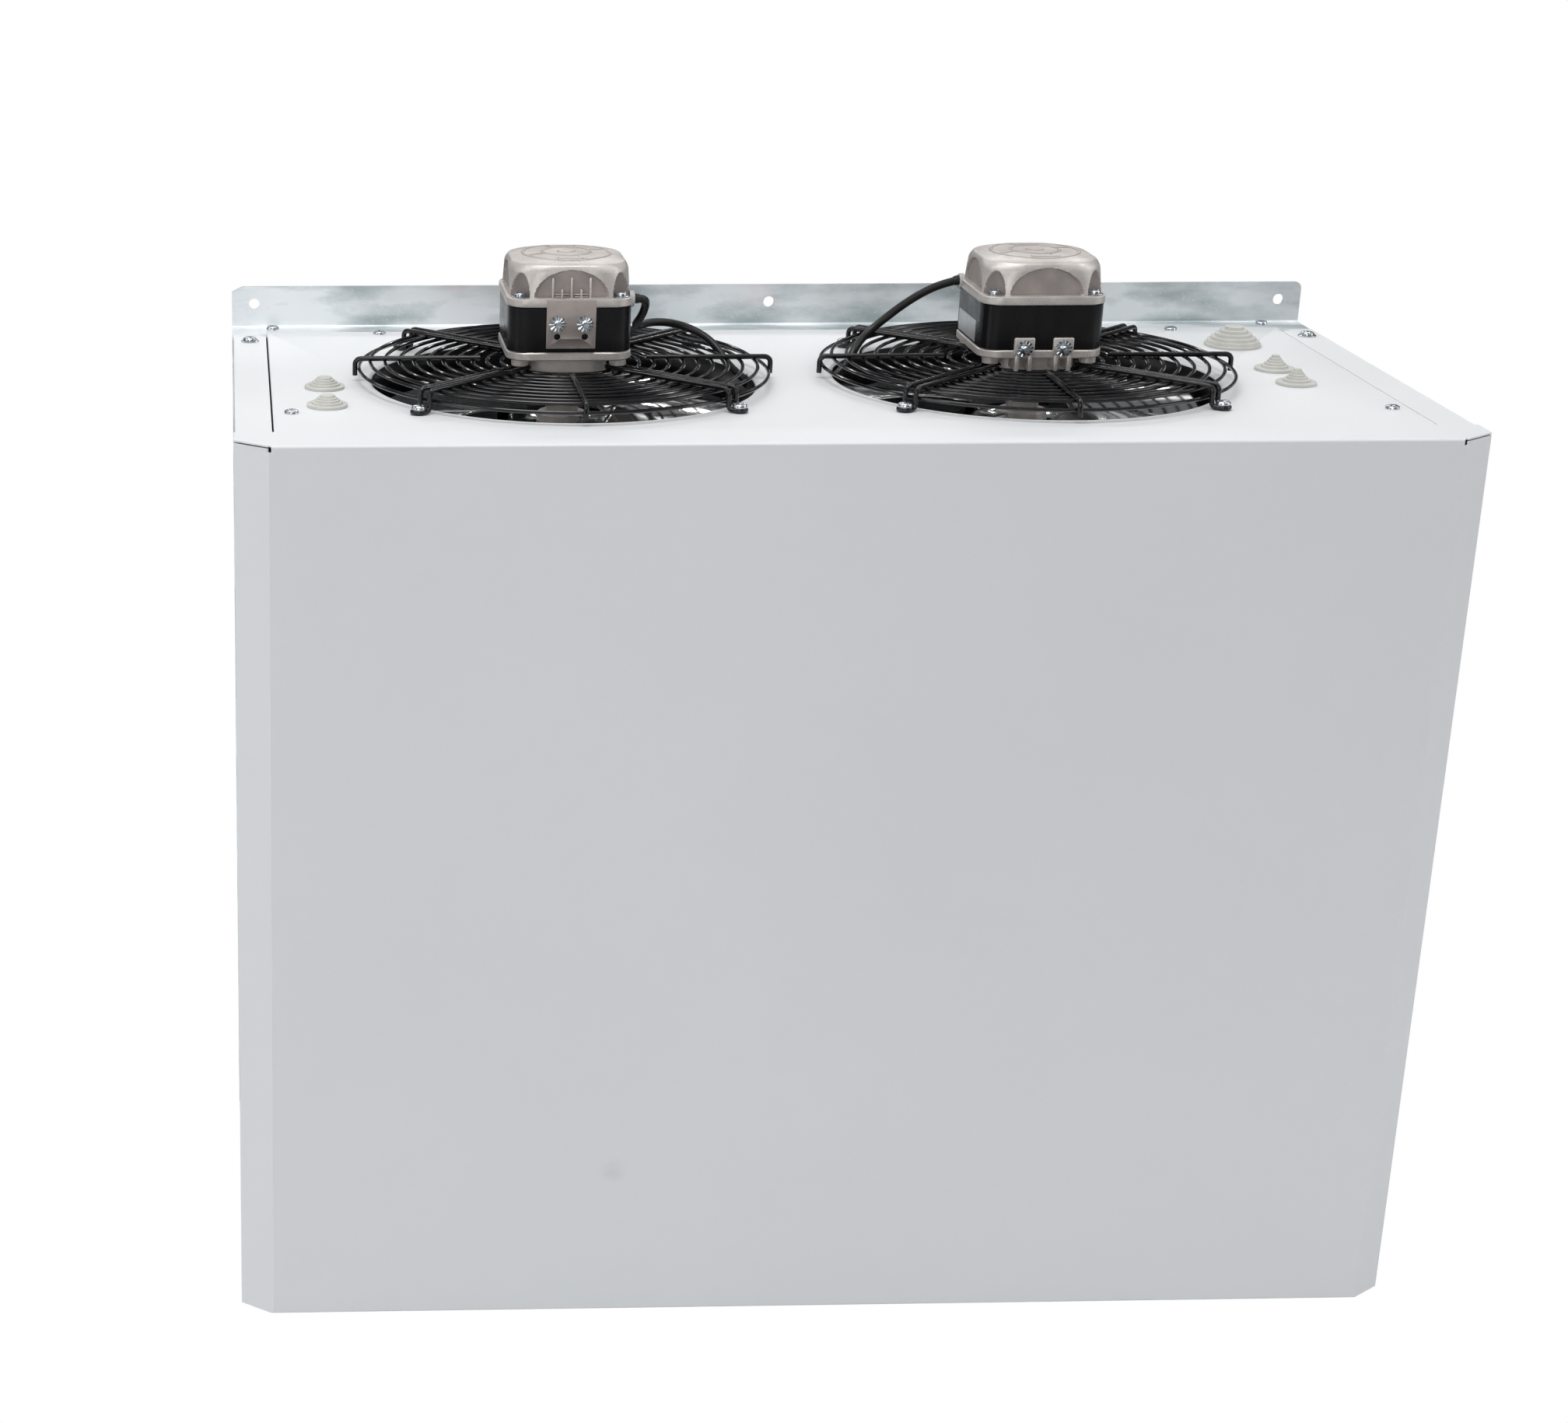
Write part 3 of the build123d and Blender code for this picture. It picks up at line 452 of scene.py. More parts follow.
# Materials -----------------------------------------------------------------------------------


def new_group(name, inputs, output, kind="NodeSocketFloat"):
    """An empty shader group with one output, and inputs named with their defaults."""
    tree = bpy.data.node_groups.new(name, "ShaderNodeTree")
    for label, default in inputs.items():
        entry = "NodeSocketVector" if isinstance(default, tuple) else "NodeSocketFloat"
        tree.interface.new_socket(name=label, in_out="INPUT", socket_type=entry).default_value = default
    tree.interface.new_socket(name=output, in_out="OUTPUT", socket_type=kind)
    source = tree.nodes.new("NodeGroupInput")
    source.location = (-900, 0)
    sink = tree.nodes.new("NodeGroupOutput")
    sink.location = (700, 0)
    return tree, source, sink


def add_node(tree, kind, x, y, settings=(), values=()):
    made = tree.nodes.new(kind)
    made.location = (x, y)
    for name, value in dict(settings).items():
        setattr(made, name, value)
    for name, value in dict(values).items():
        made.inputs[name].default_value = value
    return made


def connect(tree, *rows):
    """Links nodes: each row has a node, its output, the next node and its input."""
    for source, output, target, entry in rows:
        tree.links.new(source.outputs[output], target.inputs[entry])


def stretched_noise(tree, source, detail=6.0):
    """Noise on Object coordinates, scaled per axis by the group's Stretch and Scale inputs."""
    place = add_node(tree, "ShaderNodeTexCoord", -400, -200)
    stretch = add_node(tree, "ShaderNodeMapping", -200, -100)
    noise = add_node(tree, "ShaderNodeTexNoise", 0, 0, values={"Detail": detail, "Roughness": 0.55})
    connect(tree, (place, "Object", stretch, "Vector"), (source, "Stretch", stretch, "Scale"),
            (stretch, "Vector", noise, "Vector"), (source, "Scale", noise, "Scale"))
    return noise


def build_patches_group():
    """Soft cloudy mask between two limits, for uneven colour and roughness."""
    inputs = {"Scale": 8.0, "Stretch": (1, 1, 1), "Low": 0.4, "High": 0.62}
    tree, source, sink = new_group("Patches", inputs, "Mask")
    noise = stretched_noise(tree, source)
    spread = add_node(tree, "ShaderNodeMapRange", 300, 0, {"clamp": True})
    connect(tree, (noise, "Fac", spread, "Value"), (source, "Low", spread, "From Min"),
            (source, "High", spread, "From Max"), (spread, "Result", sink, "Mask"))


def build_grain_group():
    """Fine surface relief as a normal."""
    inputs = {"Scale": 900.0, "Stretch": (1, 1, 1), "Strength": 0.2, "Depth": 0.0002}
    tree, source, sink = new_group("Grain", inputs, "Normal", "NodeSocketVector")
    noise = stretched_noise(tree, source, detail=3.0)
    bump = add_node(tree, "ShaderNodeBump", 300, 0)
    connect(tree, (noise, "Fac", bump, "Height"), (source, "Strength", bump, "Strength"),
            (source, "Depth", bump, "Distance"), (bump, "Normal", sink, "Normal"))


def build_specks_group():
    """Sparse small specks, such as dust or pits."""
    tree, source, sink = new_group("Specks", {"Scale": 400.0, "Amount": 0.1}, "Mask")
    place = add_node(tree, "ShaderNodeTexCoord", -400, 0)
    cells = add_node(tree, "ShaderNodeTexVoronoi", -100, 0)
    less = add_node(tree, "ShaderNodeMath", 200, 0, {"operation": "LESS_THAN"})
    connect(tree, (place, "Object", cells, "Vector"), (source, "Scale", cells, "Scale"),
            (cells, "Distance", less, 0), (source, "Amount", less, 1), (less, "Value", sink, "Mask"))


def build_spot_group():
    """A soft round spot at a place in Object coordinates, broken up by noise."""
    tree, source, sink = new_group("Spot", {"Place": (0, 0, 0), "Radius": 0.02}, "Mask")
    place = add_node(tree, "ShaderNodeTexCoord", -700, -200)
    apart = add_node(tree, "ShaderNodeVectorMath", -400, 0, {"operation": "DISTANCE"})
    fall = add_node(tree, "ShaderNodeMapRange", -100, 0, {"clamp": True, "interpolation_type": "SMOOTHSTEP"},
                    {"To Min": 1.0, "To Max": 0.0})
    noise = add_node(tree, "ShaderNodeTexNoise", -100, -300, values={"Scale": 160.0, "Detail": 5.0})
    both = add_node(tree, "ShaderNodeMath", 300, 0, {"operation": "MULTIPLY"})
    connect(tree, (place, "Object", apart, 0), (source, "Place", apart, 1), (apart, "Value", fall, "Value"),
            (source, "Radius", fall, "From Max"), (place, "Object", noise, "Vector"),
            (fall, "Result", both, 0), (noise, "Fac", both, 1), (both, "Value", sink, "Mask"))


def group_node(tree, name, x, y, values):
    made = add_node(tree, "ShaderNodeGroup", x, y, {"node_tree": bpy.data.node_groups[name]})
    for label, value in values.items():
        made.inputs[label].default_value = value
    return made


def mix_colour(tree, x, y, mask, first, second, amount=1.0):
    """Mixes two colours, or an earlier mix and a colour, by a mask scaled by the amount."""
    first_socket, second_socket, result_socket = 6, 7, 2
    scale = add_node(tree, "ShaderNodeMath", x - 180, y - 150, {"operation": "MULTIPLY"}, {1: amount})
    mixed = add_node(tree, "ShaderNodeMix", x, y, {"data_type": "RGBA"})
    connect(tree, (mask, "Mask", scale, 0), (scale, "Value", mixed, "Factor"))
    for socket, colour in ((first_socket, first), (second_socket, second)):
        if isinstance(colour, bpy.types.NodeSocket):
            tree.links.new(colour, mixed.inputs[socket])
        else:
            mixed.inputs[socket].default_value = (*colour, 1.0)
    return mixed.outputs[result_socket]


def cloud(scale, low=0.4, high=0.62, stretch=(1, 1, 1)):
    """Values for the Patches group."""
    return {"Scale": scale, "Low": low, "High": high, "Stretch": stretch}


def relief(scale, strength=0.1, depth=0.1 * MM, stretch=(1, 1, 1)):
    """Values for the Grain group."""
    return {"Scale": scale, "Strength": strength, "Depth": depth, "Stretch": stretch}


def specks(scale, amount):
    """Values for the Specks group."""
    return {"Scale": scale, "Amount": amount}


def finish_material(name, base, other, metallic, roughness, patches, grain, specular=0.5,
                    streaks=None, dots=None, spot=None):
    """A procedural finish: uneven colour and roughness, fine relief, and any streaks, dots or spot."""
    material = bpy.data.materials.new("finish_" + name)
    material.use_nodes = True
    tree = material.node_tree
    shader = tree.nodes["Principled BSDF"]
    shader.inputs["Metallic"].default_value = metallic
    shader.inputs["Specular IOR Level"].default_value = specular
    colour = mix_colour(tree, -500, 300, group_node(tree, "Patches", -900, 200, patches), base, other)
    for i, (group, mark) in enumerate((("Patches", streaks), ("Specks", dots), ("Spot", spot))):
        if mark:
            values, tint, amount = mark
            mask = group_node(tree, group, -900, 600 + 300 * i, values)
            colour = mix_colour(tree, -320 + 160 * i, 450 + 150 * i, mask, colour, tint, amount)
    tree.links.new(colour, shader.inputs["Base Color"])
    finer = 2.3
    sheen = group_node(tree, "Patches", -900, -200, cloud(patches["Scale"] * finer, 0.35, 0.65))
    spread = add_node(tree, "ShaderNodeMapRange", -500, -100, {"clamp": True},
                      {"To Min": roughness[0], "To Max": roughness[1]})
    bumps = group_node(tree, "Grain", -500, -400, grain)
    connect(tree, (sheen, "Mask", spread, "Value"), (spread, "Result", shader, "Roughness"),
            (bumps, "Normal", shader, "Normal"))


def build_materials():
    for build in (build_patches_group, build_grain_group, build_specks_group, build_spot_group):
        build()
    finish_material("white_paint", (0.80, 0.815, 0.83), (0.775, 0.79, 0.80), 0.0, (0.34, 0.44),
                    cloud(2.4, 0.35, 0.7), relief(700.0, 0.12),
                    dots=(specks(55.0, 0.03), (0.6, 0.6, 0.58), 0.25),
                    spot=({"Place": (-0.146, -0.392, -0.2), "Radius": 0.012}, (0.5, 0.5, 0.5), 0.5))
    finish_material("galvanised", (0.46, 0.525, 0.54), (0.84, 0.875, 0.895), 0.55, (0.3, 0.44),
                    cloud(11.0, 0.38, 0.56, (1, 3, 3)), relief(140.0, 0.3, 0.2 * MM, (0.25, 6, 8)),
                    streaks=(cloud(7.0, 0.57, 0.7, (1.0, 3.0, 1.5)), (0.80, 0.62, 0.67), 0.6),
                    dots=(specks(260.0, 0.2), (0.88, 0.91, 0.93), 0.3))
    finish_material("zinc", (0.62, 0.65, 0.68), (0.40, 0.44, 0.48), 1.0, (0.14, 0.3),
                    cloud(260.0), relief(900.0))
    finish_material("casting", (0.68, 0.64, 0.605), (0.52, 0.485, 0.46), 0.5, (0.34, 0.48),
                    cloud(38.0, 0.35, 0.65), relief(700.0, 0.5, 0.3 * MM),
                    dots=(specks(420.0, 0.2), (0.36, 0.335, 0.315), 0.4))
    # Darker, rougher cast finish: on the cover's arches, scallops and mark sides it is partly painted shade;
    # the terminal flap is made in it too.
    finish_material("recess", (0.41, 0.36, 0.338), (0.33, 0.292, 0.277), 0.2, (0.45, 0.6),
                    cloud(60.0), relief(800.0, 0.5, 0.3 * MM))
    finish_material("stator_black", (0.004, 0.004, 0.005), (0.007, 0.007, 0.008), 0.0, (0.2, 0.3),
                    cloud(40.0, stretch=(2, 2, 0.4)), relief(500.0, 0.12, stretch=(1, 1, 5)), specular=0.25)
    finish_material("guard_black", (0.003, 0.003, 0.004), (0.006, 0.006, 0.007), 0.0, (0.1, 0.18),
                    cloud(30.0), relief(600.0, 0.08))
    finish_material("blade_aluminium", (0.66, 0.655, 0.645), (0.52, 0.52, 0.525), 1.0, (0.07, 0.15),
                    cloud(14.0), relief(60.0, 0.12, 0.3 * MM))
    finish_material("grommet_rubber", (0.60, 0.595, 0.56), (0.53, 0.525, 0.495), 0.0, (0.5, 0.65),
                    cloud(60.0), relief(900.0, 0.2), dots=(specks(300.0, 0.1), (0.45, 0.43, 0.38), 0.3))
    # Near-black finish for the inside of the throat collars: painted shade that stands in for the dark casing
    # behind the fans.
    finish_material("shroud", (0.007, 0.007, 0.008), (0.012, 0.012, 0.013), 0.0, (0.3, 0.42),
                    cloud(20.0), relief(500.0), specular=0.3)
    finish_material("lead_black", (0.005, 0.005, 0.005), (0.009, 0.009, 0.009), 0.0, (0.32, 0.42),
                    cloud(50.0), relief(800.0, 0.15), specular=0.4)
    finish_material("pale_plastic", (0.52, 0.525, 0.515), (0.46, 0.465, 0.455), 0.0, (0.4, 0.5),
                    cloud(80.0), relief(700.0))
    finish_material("grey_plastic", (0.42, 0.43, 0.44), (0.38, 0.39, 0.4), 0.0, (0.45, 0.55),
                    cloud(40.0), relief(900.0, 0.2))
    finish_material("copper", (0.72, 0.36, 0.22), (0.52, 0.25, 0.16), 1.0, (0.24, 0.42),
                    cloud(30.0), relief(300.0))
    finish_material("fins", (0.72, 0.73, 0.74), (0.64, 0.65, 0.66), 1.0, (0.28, 0.4),
                    cloud(20.0), relief(200.0))
    finish_material("steel", (0.5, 0.5, 0.5), (0.4, 0.4, 0.4), 1.0, (0.25, 0.4),
                    cloud(60.0), relief(300.0))
    finish_material("label", (0.62, 0.63, 0.64), (0.56, 0.57, 0.58), 0.6, (0.3, 0.4),
                    cloud(90.0), relief(500.0, 0.05))


def paint_cad_nodes():
    """Gives every CAD node that stays shown the finish of its material slot."""
    finishes = {"rotor_steel": "steel", "hub_casting": "casting", "bush_rubber": "lead_black"}
    for part in frame["record"]["subparts"]:
        slot = part["material_slot"]
        node = frame["nodes"][part["node"]]
        node.data.materials.clear()
        node.data.materials.append(bpy.data.materials["finish_" + finishes.get(slot, slot)])


# Pieces --------------------------------------------------------------------------------------


def build_guard(side):
    """Welded wire guard: rings, rim, four single spokes and four double arms with looped feet."""
    s = sizes("guard")
    place = fan_place(side)
    weld_depth = 0.1 * MM
    ring_height = s.spoke_height - s.spoke_wire - s.ring_wire + weld_depth
    bm = bmesh.new()
    for i in range(s.ring_count):
        ring(bm, s.outer_ring - i * s.ring_pitch, ring_height, s.ring_wire, place)
    ring(bm, s.spoke_tip - s.spoke_wire - s.ring_wire + weld_depth, s.rim_height, s.ring_wire, place)
    dressed("guard_rings_" + side, "wire", bm, "guard_black")

    bm = bmesh.new()
    corners = [(s.spoke_start, 0, s.spoke_height), (s.spoke_tip, 0, s.spoke_height),
               (s.spoke_tip, 0, s.spoke_end)]
    spoke = rounded(corners, s.bend)
    for i in range(4):
        wire(bm, spoke, s.spoke_wire, place @ quarter(i))
    dressed("guard_spokes_" + side, "wire", bm, "guard_black")

    bm = bmesh.new()
    half, low = s.arm_gap / 2, s.spoke_wire
    tight, end = half * 0.98, s.foot + half
    corners = [
        (s.arm_start, half, s.spoke_height), (s.spoke_tip, half, s.spoke_height), (s.spoke_tip, half, low),
        (end, half, low), (end, -half, low), (s.spoke_tip, -half, low),
        (s.spoke_tip, -half, s.spoke_height), (s.arm_start, -half, s.spoke_height),
    ]
    radii = [tight, s.bend, s.bend * 0.8, tight, tight, s.bend * 0.8, s.bend, tight]
    arm = rounded(corners, radii, closed=True, steps=7)
    for i in range(4):
        wire(bm, arm, s.spoke_wire, place @ quarter(i + 0.5), closed=True)
    dressed("guard_arms_" + side, "wire", bm, "guard_black")

    bm = bmesh.new()
    shank = 2.0 * MM
    for i in range(4):
        stand = place @ quarter(i + 0.5) @ Matrix.Translation((s.foot, 0, 2 * low))
        stand = stand @ Matrix.Rotation(0.4 + i, 4, "Z")
        cross_head(bm, 4.9 * MM, 2.7 * MM, stand)
        turned(bm, [(0, -2 * low), (shank, -2 * low), (shank, 0), (0, 0)], 16, stand)
    dressed("guard_screws_" + side, "zinc", bm, "zinc")


def cover_outline(angle, height, s):
    """Radius of the cover's body, which turns from a rounded square to nearly round at its shoulder."""
    rise = min(max((height - s.body_low) / (s.shoulder - s.body_low), 0.0), 1.0)
    curl = min(max((height - s.turn_in) / (s.shoulder - s.turn_in), 0.0), 1.0)
    half = s.body - s.body_draft * rise - (s.body - s.body_draft - s.body_top) * curl ** 2
    corner = s.body_corner + (s.top_corner - s.body_corner) * rise ** 1.5
    return square_reach(angle, half, min(corner, half * 0.92))


def cover_reach(angle, height, s):
    """The same with the flat arch in each side and the scallop round each corner screw cut in."""
    reach = cover_outline(angle, height, s)
    side_turn = (angle + math.pi / 4) % (math.pi / 2) - math.pi / 4
    arch_foot, scallop_out = 0.6 * MM, 2.5 * MM
    level = (height - s.body_low - arch_foot) / s.arch_height
    if 0 <= level < 1 and abs(reach * math.sin(side_turn)) < s.arch * math.sqrt(1 - level * level):
        reach = min(reach, (s.body - s.arch_depth) / math.cos(side_turn))
    level = (height - s.body_low) / s.scallop_height
    if 0 <= level < 1:
        corner_turn = angle % (math.pi / 2) - math.pi / 4
        away = s.screw_spacing / 2 * math.sqrt(2) + scallop_out
        width = s.scallop * math.sqrt(1 - level * level)
        across = away * math.sin(corner_turn)
        if abs(across) < width:
            reach = min(reach, away * math.cos(corner_turn) - math.sqrt(width * width - across * across))
    return reach


def cast_marks(reach, angle):
    """Height of the raised rings, bars and pads on the cover's top, which are placed in millimetres."""
    radius, across, up = (abs(x) / MM for x in (reach, reach * math.cos(angle), reach * math.sin(angle)))
    off_bar = radius * abs((angle + math.pi / 8) % (math.pi / 2) - math.pi / 4)
    rings = radius < 6.0 or 15.4 < radius < 17.0 or 28.6 < radius < 30.2
    bars = 18.5 < radius < 27.0 and off_bar < 1.3
    pads = across < 8.0 and 21.0 < up < 25.5
    return 0.55 * MM if rings or bars or pads else 0.0


def build_motor_cover(side):
    """Cast top shield: lip, body with scallops and arches, a domed top with cast rings, and ribs."""
    s = sizes("motor")
    place = fan_place(side, turned=True)
    edge = 0.7 * MM
    low, high = s.cover_low, s.body_low
    body_foot, body_end = high + 0.02 * MM, s.shoulder - 0.5 * MM - high
    lip = [(low, edge), (low + 0.3 * edge, 0.3 * edge), (low + edge, 0), (high - edge, 0),
           (high - 0.3 * edge, 0.3 * edge), (high, edge)]
    rows = [("lip", low, 0.0)] + [("lip", height, s.cover_lip - inset) for height, inset in lip]
    rows += [("body", body_foot + body_end * i / 40, 1.0) for i in range(41)]
    rows += [("top", s.shoulder, 1 - (i / 60) ** 1.1) for i in range(61)]
    last = len(rows) - 1

    def at(u, v):
        angle = math.tau * u
        kind, height, value = rows[round(v * last)]
        if kind == "lip":
            reach = square_reach(angle, value, s.flange_corner) if value else 0.0
        elif kind == "body":
            reach = cover_reach(angle, height, s)
        else:
            reach = cover_reach(angle, height, s) * value
            height += s.dome * (0.65 * math.sqrt(1 - value ** 4) + 0.35 * (1 - value * value))
            height += cast_marks(reach, angle) if value < 0.93 else 0.0
        return place @ polar(reach, angle, height)

    bm = bmesh.new()
    weld(bm, surface(bm, 400, last, at))

    def rib(middle, half, back, front, foot, top, soft):
        near = (middle - half) * MM, s.cover_lip - back * MM, high + foot * MM
        far = (middle + half) * MM, s.cover_lip - front * MM, high + top * MM
        soft_box(bm, near, far, soft * MM, place)

    for x in (-12.5, 0.0, 12.5):
        rib(x, 0.8, 9.0, 1.6, -0.5, 14.0, 0.4)
    for x in (-6.4, 6.4):
        rib(x, 0.7, 8.0, 0.5, -0.5, 6.5, 0.4)
        for rise in (1.4, 3.0):
            rib(x, 4.6, 6.0, 1.6, rise - 0.4, rise + 0.2, 0.2)
    paint_recesses(dressed("motor_cover_" + side, "cast", bm, "casting", smooth=28), side)


def paint_recesses(made, side):
    """The floor of the arches and scallops and the steep sides of the cast marks on the top take the darker,
    rougher finish: partly the rough cast surface, partly painted shade.
    """
    s = sizes("motor")
    made.data.materials.append(bpy.data.materials["finish_recess"])
    back = fan_place(side, turned=True).inverted()
    cut, steep, marks_end = 0.6 * MM, 0.86, 0.86 * s.body_top
    for face in made.data.polygons:
        at = back @ face.center
        away = math.hypot(at.x, at.y)
        if s.body_low < at.z < s.shoulder - 1 * MM:
            if away < cover_outline(math.atan2(at.y, at.x), at.z, s) - cut:
                face.material_index = 1
        elif at.z > s.shoulder and abs((back.to_3x3() @ face.normal).z) < steep:
            face.material_index = 1 if away < marks_end else 0


def build_motor_flap(side):
    """Terminal flap that hangs from the cover over the stator, with two open holes."""
    s = sizes("motor")
    place = fan_place(side, turned=True)
    low, top = s.cover_low - s.flap_drop, s.body_low - 0.2 * MM
    bm = bmesh.new()
    corners = [(-s.flap, low), (s.flap, low), (s.flap, top), (-s.flap, top)]
    holes = [(x * s.flap_screws / 2, low + 7.9 * MM, 2.1 * MM, 24) for x in (-1, 1)]
    upright = Matrix.Translation((0, s.cover_lip + s.flap_step, 0)) @ Matrix.Rotation(math.pi / 2, 4, "X")
    pierced_sheet(bm, corners, holes, place @ upright)
    face_towards(bm.faces, place.to_3x3() @ Vector((0, 1, 0)))
    made = piece("motor_flap_" + side, bm, "recess", "casing", slot="casting", closed=False)
    thicken(made, s.flap_sheet)
    soft = made.modifiers.new("Edges", "BEVEL")
    soft.width = 0.35 * MM
    soft.segments = 2


def build_motor_screws(side):
    """Studs with star washers on the flap and the lugs, and the cover's corner screws."""
    s = sizes("motor")
    place = fan_place(side, turned=True)
    flap_height = s.cover_low - s.flap_drop + 16.8 * MM
    bm = bmesh.new()
    for x in (-1, 1):
        spot = Matrix.Translation((x * s.flap_screws / 2, s.cover_lip + s.flap_step, flap_height))
        stand = place @ spot @ Matrix.Rotation(-math.pi / 2, 4, "X")
        star_washer(bm, stand)
        stud(bm, 2.3 * MM, 7.0 * MM, stand)
    for sx in (-1, 1):
        for sy in (-1, 1):
            spot = Matrix.Translation((sx * s.screw_spacing / 2, sy * s.screw_spacing / 2, s.body_low))
            cross_head(bm, 4.2 * MM, 2.6 * MM, place @ spot, washer=5.6 * MM)
        lug = Matrix.Translation((sx * s.lug_pitch / 2, -s.flange - s.lug_step, s.lug_top - 7.0 * MM))
        stand = place @ lug @ Matrix.Rotation(math.pi / 2, 4, "X")
        star_washer(bm, stand)
        hexagon(bm, 3.9 * MM, 1.0 * MM, 3.4 * MM, stand)
        stud(bm, 2.2 * MM, 7.5 * MM, stand)
    dressed("motor_screws_" + side, "zinc", bm, "zinc")


def star_washer(bm, place):
    """Adds a toothed lock washer."""
    teeth, bore, rim, tooth, sheet, crown = 12, 2.3 * MM, 5.1 * MM, 0.55 * MM, 0.7 * MM, 0.5 * MM

    def at(u, v):
        angle = math.tau * u
        outer = rim + tooth * math.copysign(1, math.sin(teeth * angle))
        top = sheet + crown * math.sin(teeth * angle / 2) ** 2
        ways = [(bore, 0.0), (outer, 0.0), (outer, top), (bore, 1.0 * MM), (bore, 0.0)]
        reach, rise = ways[round(v * 4)]
        return place @ polar(reach, angle, rise)

    weld(bm, surface(bm, 96, 4, at))


def stud(bm, radius, reach, place):
    """Adds a threaded stud with a chamfered end, its thread as shallow grooves."""
    pitch, plain = 0.7 * MM, 1.2 * MM
    profile = [(0, 0), (radius, 0)]
    for i in range(int((reach - plain) / pitch)):
        profile += [(radius * 0.88, (i + 0.5) * pitch), (radius, (i + 1) * pitch)]
    profile += [(radius * 0.8, reach), (0, reach)]
    turned(bm, profile, 20, place)


def build_motor_base(side):
    """Cast bottom shield: neck, flange with rounded edges, bosses on the arms and two lugs."""
    s = sizes("motor")
    place = fan_place(side, turned=True)
    bm = bmesh.new()
    edge = 0.6 * MM
    neck = [(s.neck_low, s.neck - edge, s.neck_corner), (s.neck_low + edge, s.neck, s.neck_corner),
            (s.flange_low + 1 * MM, s.neck + 0.4 * MM, s.neck_corner)]
    rounded_block(bm, neck, place)
    rounded_block(bm, slab(s.flange_low, s.stator_low, s.flange, s.flange_corner, 0.8 * MM), place)
    boss_place, foot, top = 33 * MM, 16.9 * MM, s.flange_low + 0.5 * MM
    boss = [(0, foot), (5.2 * MM, foot), (5.6 * MM, foot + 0.5 * MM), (5.8 * MM, top), (0, top)]
    half, front, rib, rib_foot = s.lug_width / 2, -s.flange - s.lug_step, 2.8 * MM, 13.2 * MM
    for sx in (-1, 1):
        for sy in (-1, 1):
            turned(bm, boss, 32, place @ Matrix.Translation((sx * boss_place, sy * boss_place, 0)))
        middle = sx * s.lug_pitch / 2
        soft_box(bm, (middle - half, front, s.flange_low + 2 * MM),
                 (middle + half, -s.stator - 0.1 * MM, s.lug_top), 1.1 * MM, place, 3)
        for x in (middle - half + 1.2 * MM, middle + half - 1.2 * MM - rib):
            soft_box(bm, (x, front + 0.1 * MM, rib_foot),
                     (x + rib, -s.neck + 1 * MM, s.flange_low + 3 * MM), 0.6 * MM, place)
    dressed("motor_base_" + side, "cast", bm, "casting", smooth=30)

    bm = bmesh.new()
    rounded_block(bm, slab(s.stator_low, s.cover_low, s.stator, s.neck_corner, 0.5 * MM), place)
    dressed("motor_stator_" + side, "core", bm, "stator_black")


def build_label():
    """Blank silver label on the right motor's outer face."""
    s = sizes("motor")
    bm = bmesh.new()
    face = -s.stator - 0.12 * MM
    near = face, -20 * MM, s.stator_low + 1.5 * MM
    far = face + 0.15 * MM, 28 * MM, s.stator_low + 16 * MM
    soft_box(bm, near, far, 0.05 * MM, fan_place("right"), 1)
    piece("motor_label_right", bm, "label", "casing", slot="pale_plastic")


def build_impeller(side):
    """Pressed aluminium impeller: cambered, pitched blades on a flat disc."""
    s = sizes("fan")
    place = fan_place(side, turned=True) @ Matrix.Translation((0, 0, -s.disc_drop))
    sine, cosine = math.sin(s.pitch), math.cos(s.pitch)

    def arc(strip):
        return math.sqrt(s.camber ** 2 - strip ** 2) - s.camber

    def height(across):
        strip = across
        for _ in range(8):
            strip = (across + arc(strip) * sine) / cosine
        return strip * sine + arc(strip) * cosine + s.lift

    half_width, tail_sweep, nose_sweep, swell = 23, 7, 13, 5

    def blade(u, v):
        radius = s.root + (s.tip - s.root) * v
        bow = swell * math.sin(math.pi * v)
        low = math.radians(-half_width + tail_sweep * v - bow)
        high = math.radians(half_width + nose_sweep * v + bow)
        flat = polar(radius, low + (high - low) * u)
        return Vector((flat.x, flat.y, height(flat.y)))

    bm = bmesh.new()
    for i in range(s.blades):
        turn = place @ Matrix.Rotation(math.tau * i / s.blades, 4, "Z")
        surface(bm, 24, 24, lambda u, v: turn @ blade(u, v))
    bore, edge, under = 4.2 * MM, 0.5 * MM, -s.sheet / 2
    rows = [(bore, under), (s.disc - edge, under), (s.disc, under - 0.15 * MM)]

    def disc(u, v):
        radius, rise = rows[round(v * 2)]
        return place @ polar(radius, math.tau * u, rise)

    weld(bm, surface(bm, 64, 2, disc), cap=False)
    face_towards(bm.faces, Vector((0, 0, 1)))
    made = dressed("impeller_" + side, "pressed", bm, "blade_aluminium", "fan_" + side, closed=False)
    thicken(made, s.sheet, offset=0.0)


LEADS = {
    "left": [
        (46.5, -29.0, 60.8), (50.5, -28.0, 60.3), (52.8, -20.0, 55.5), (52.5, -4.0, 44.5),
        (50.5, 14.0, 35.0), (54.0, 31.0, 30.5), (66.0, 43.5, 31.0), (81.0, 49.5, 29.0), (94.5, 48.5, 25.0),
        (106.0, 42.0, 19.0), (112.2, 33.2, 12.6), (116.6, 27.5, 5.8), (121.8, 23.3, 0.4), (128.2, 21.0, -4.4),
    ],
    "right": [
        (-46.5, 30.0, 60.8), (-56.0, 34.0, 57.4), (-67.0, 40.5, 50.0), (-77.5, 45.5, 41.5),
        (-87.5, 48.5, 32.5), (-96.8, 47.5, 25.0), (-105.4, 42.0, 19.0), (-112.2, 33.2, 12.6),
        (-116.6, 27.5, 5.8), (-121.8, 23.3, 0.4), (-128.2, 21.0, -4.4),
    ],
}


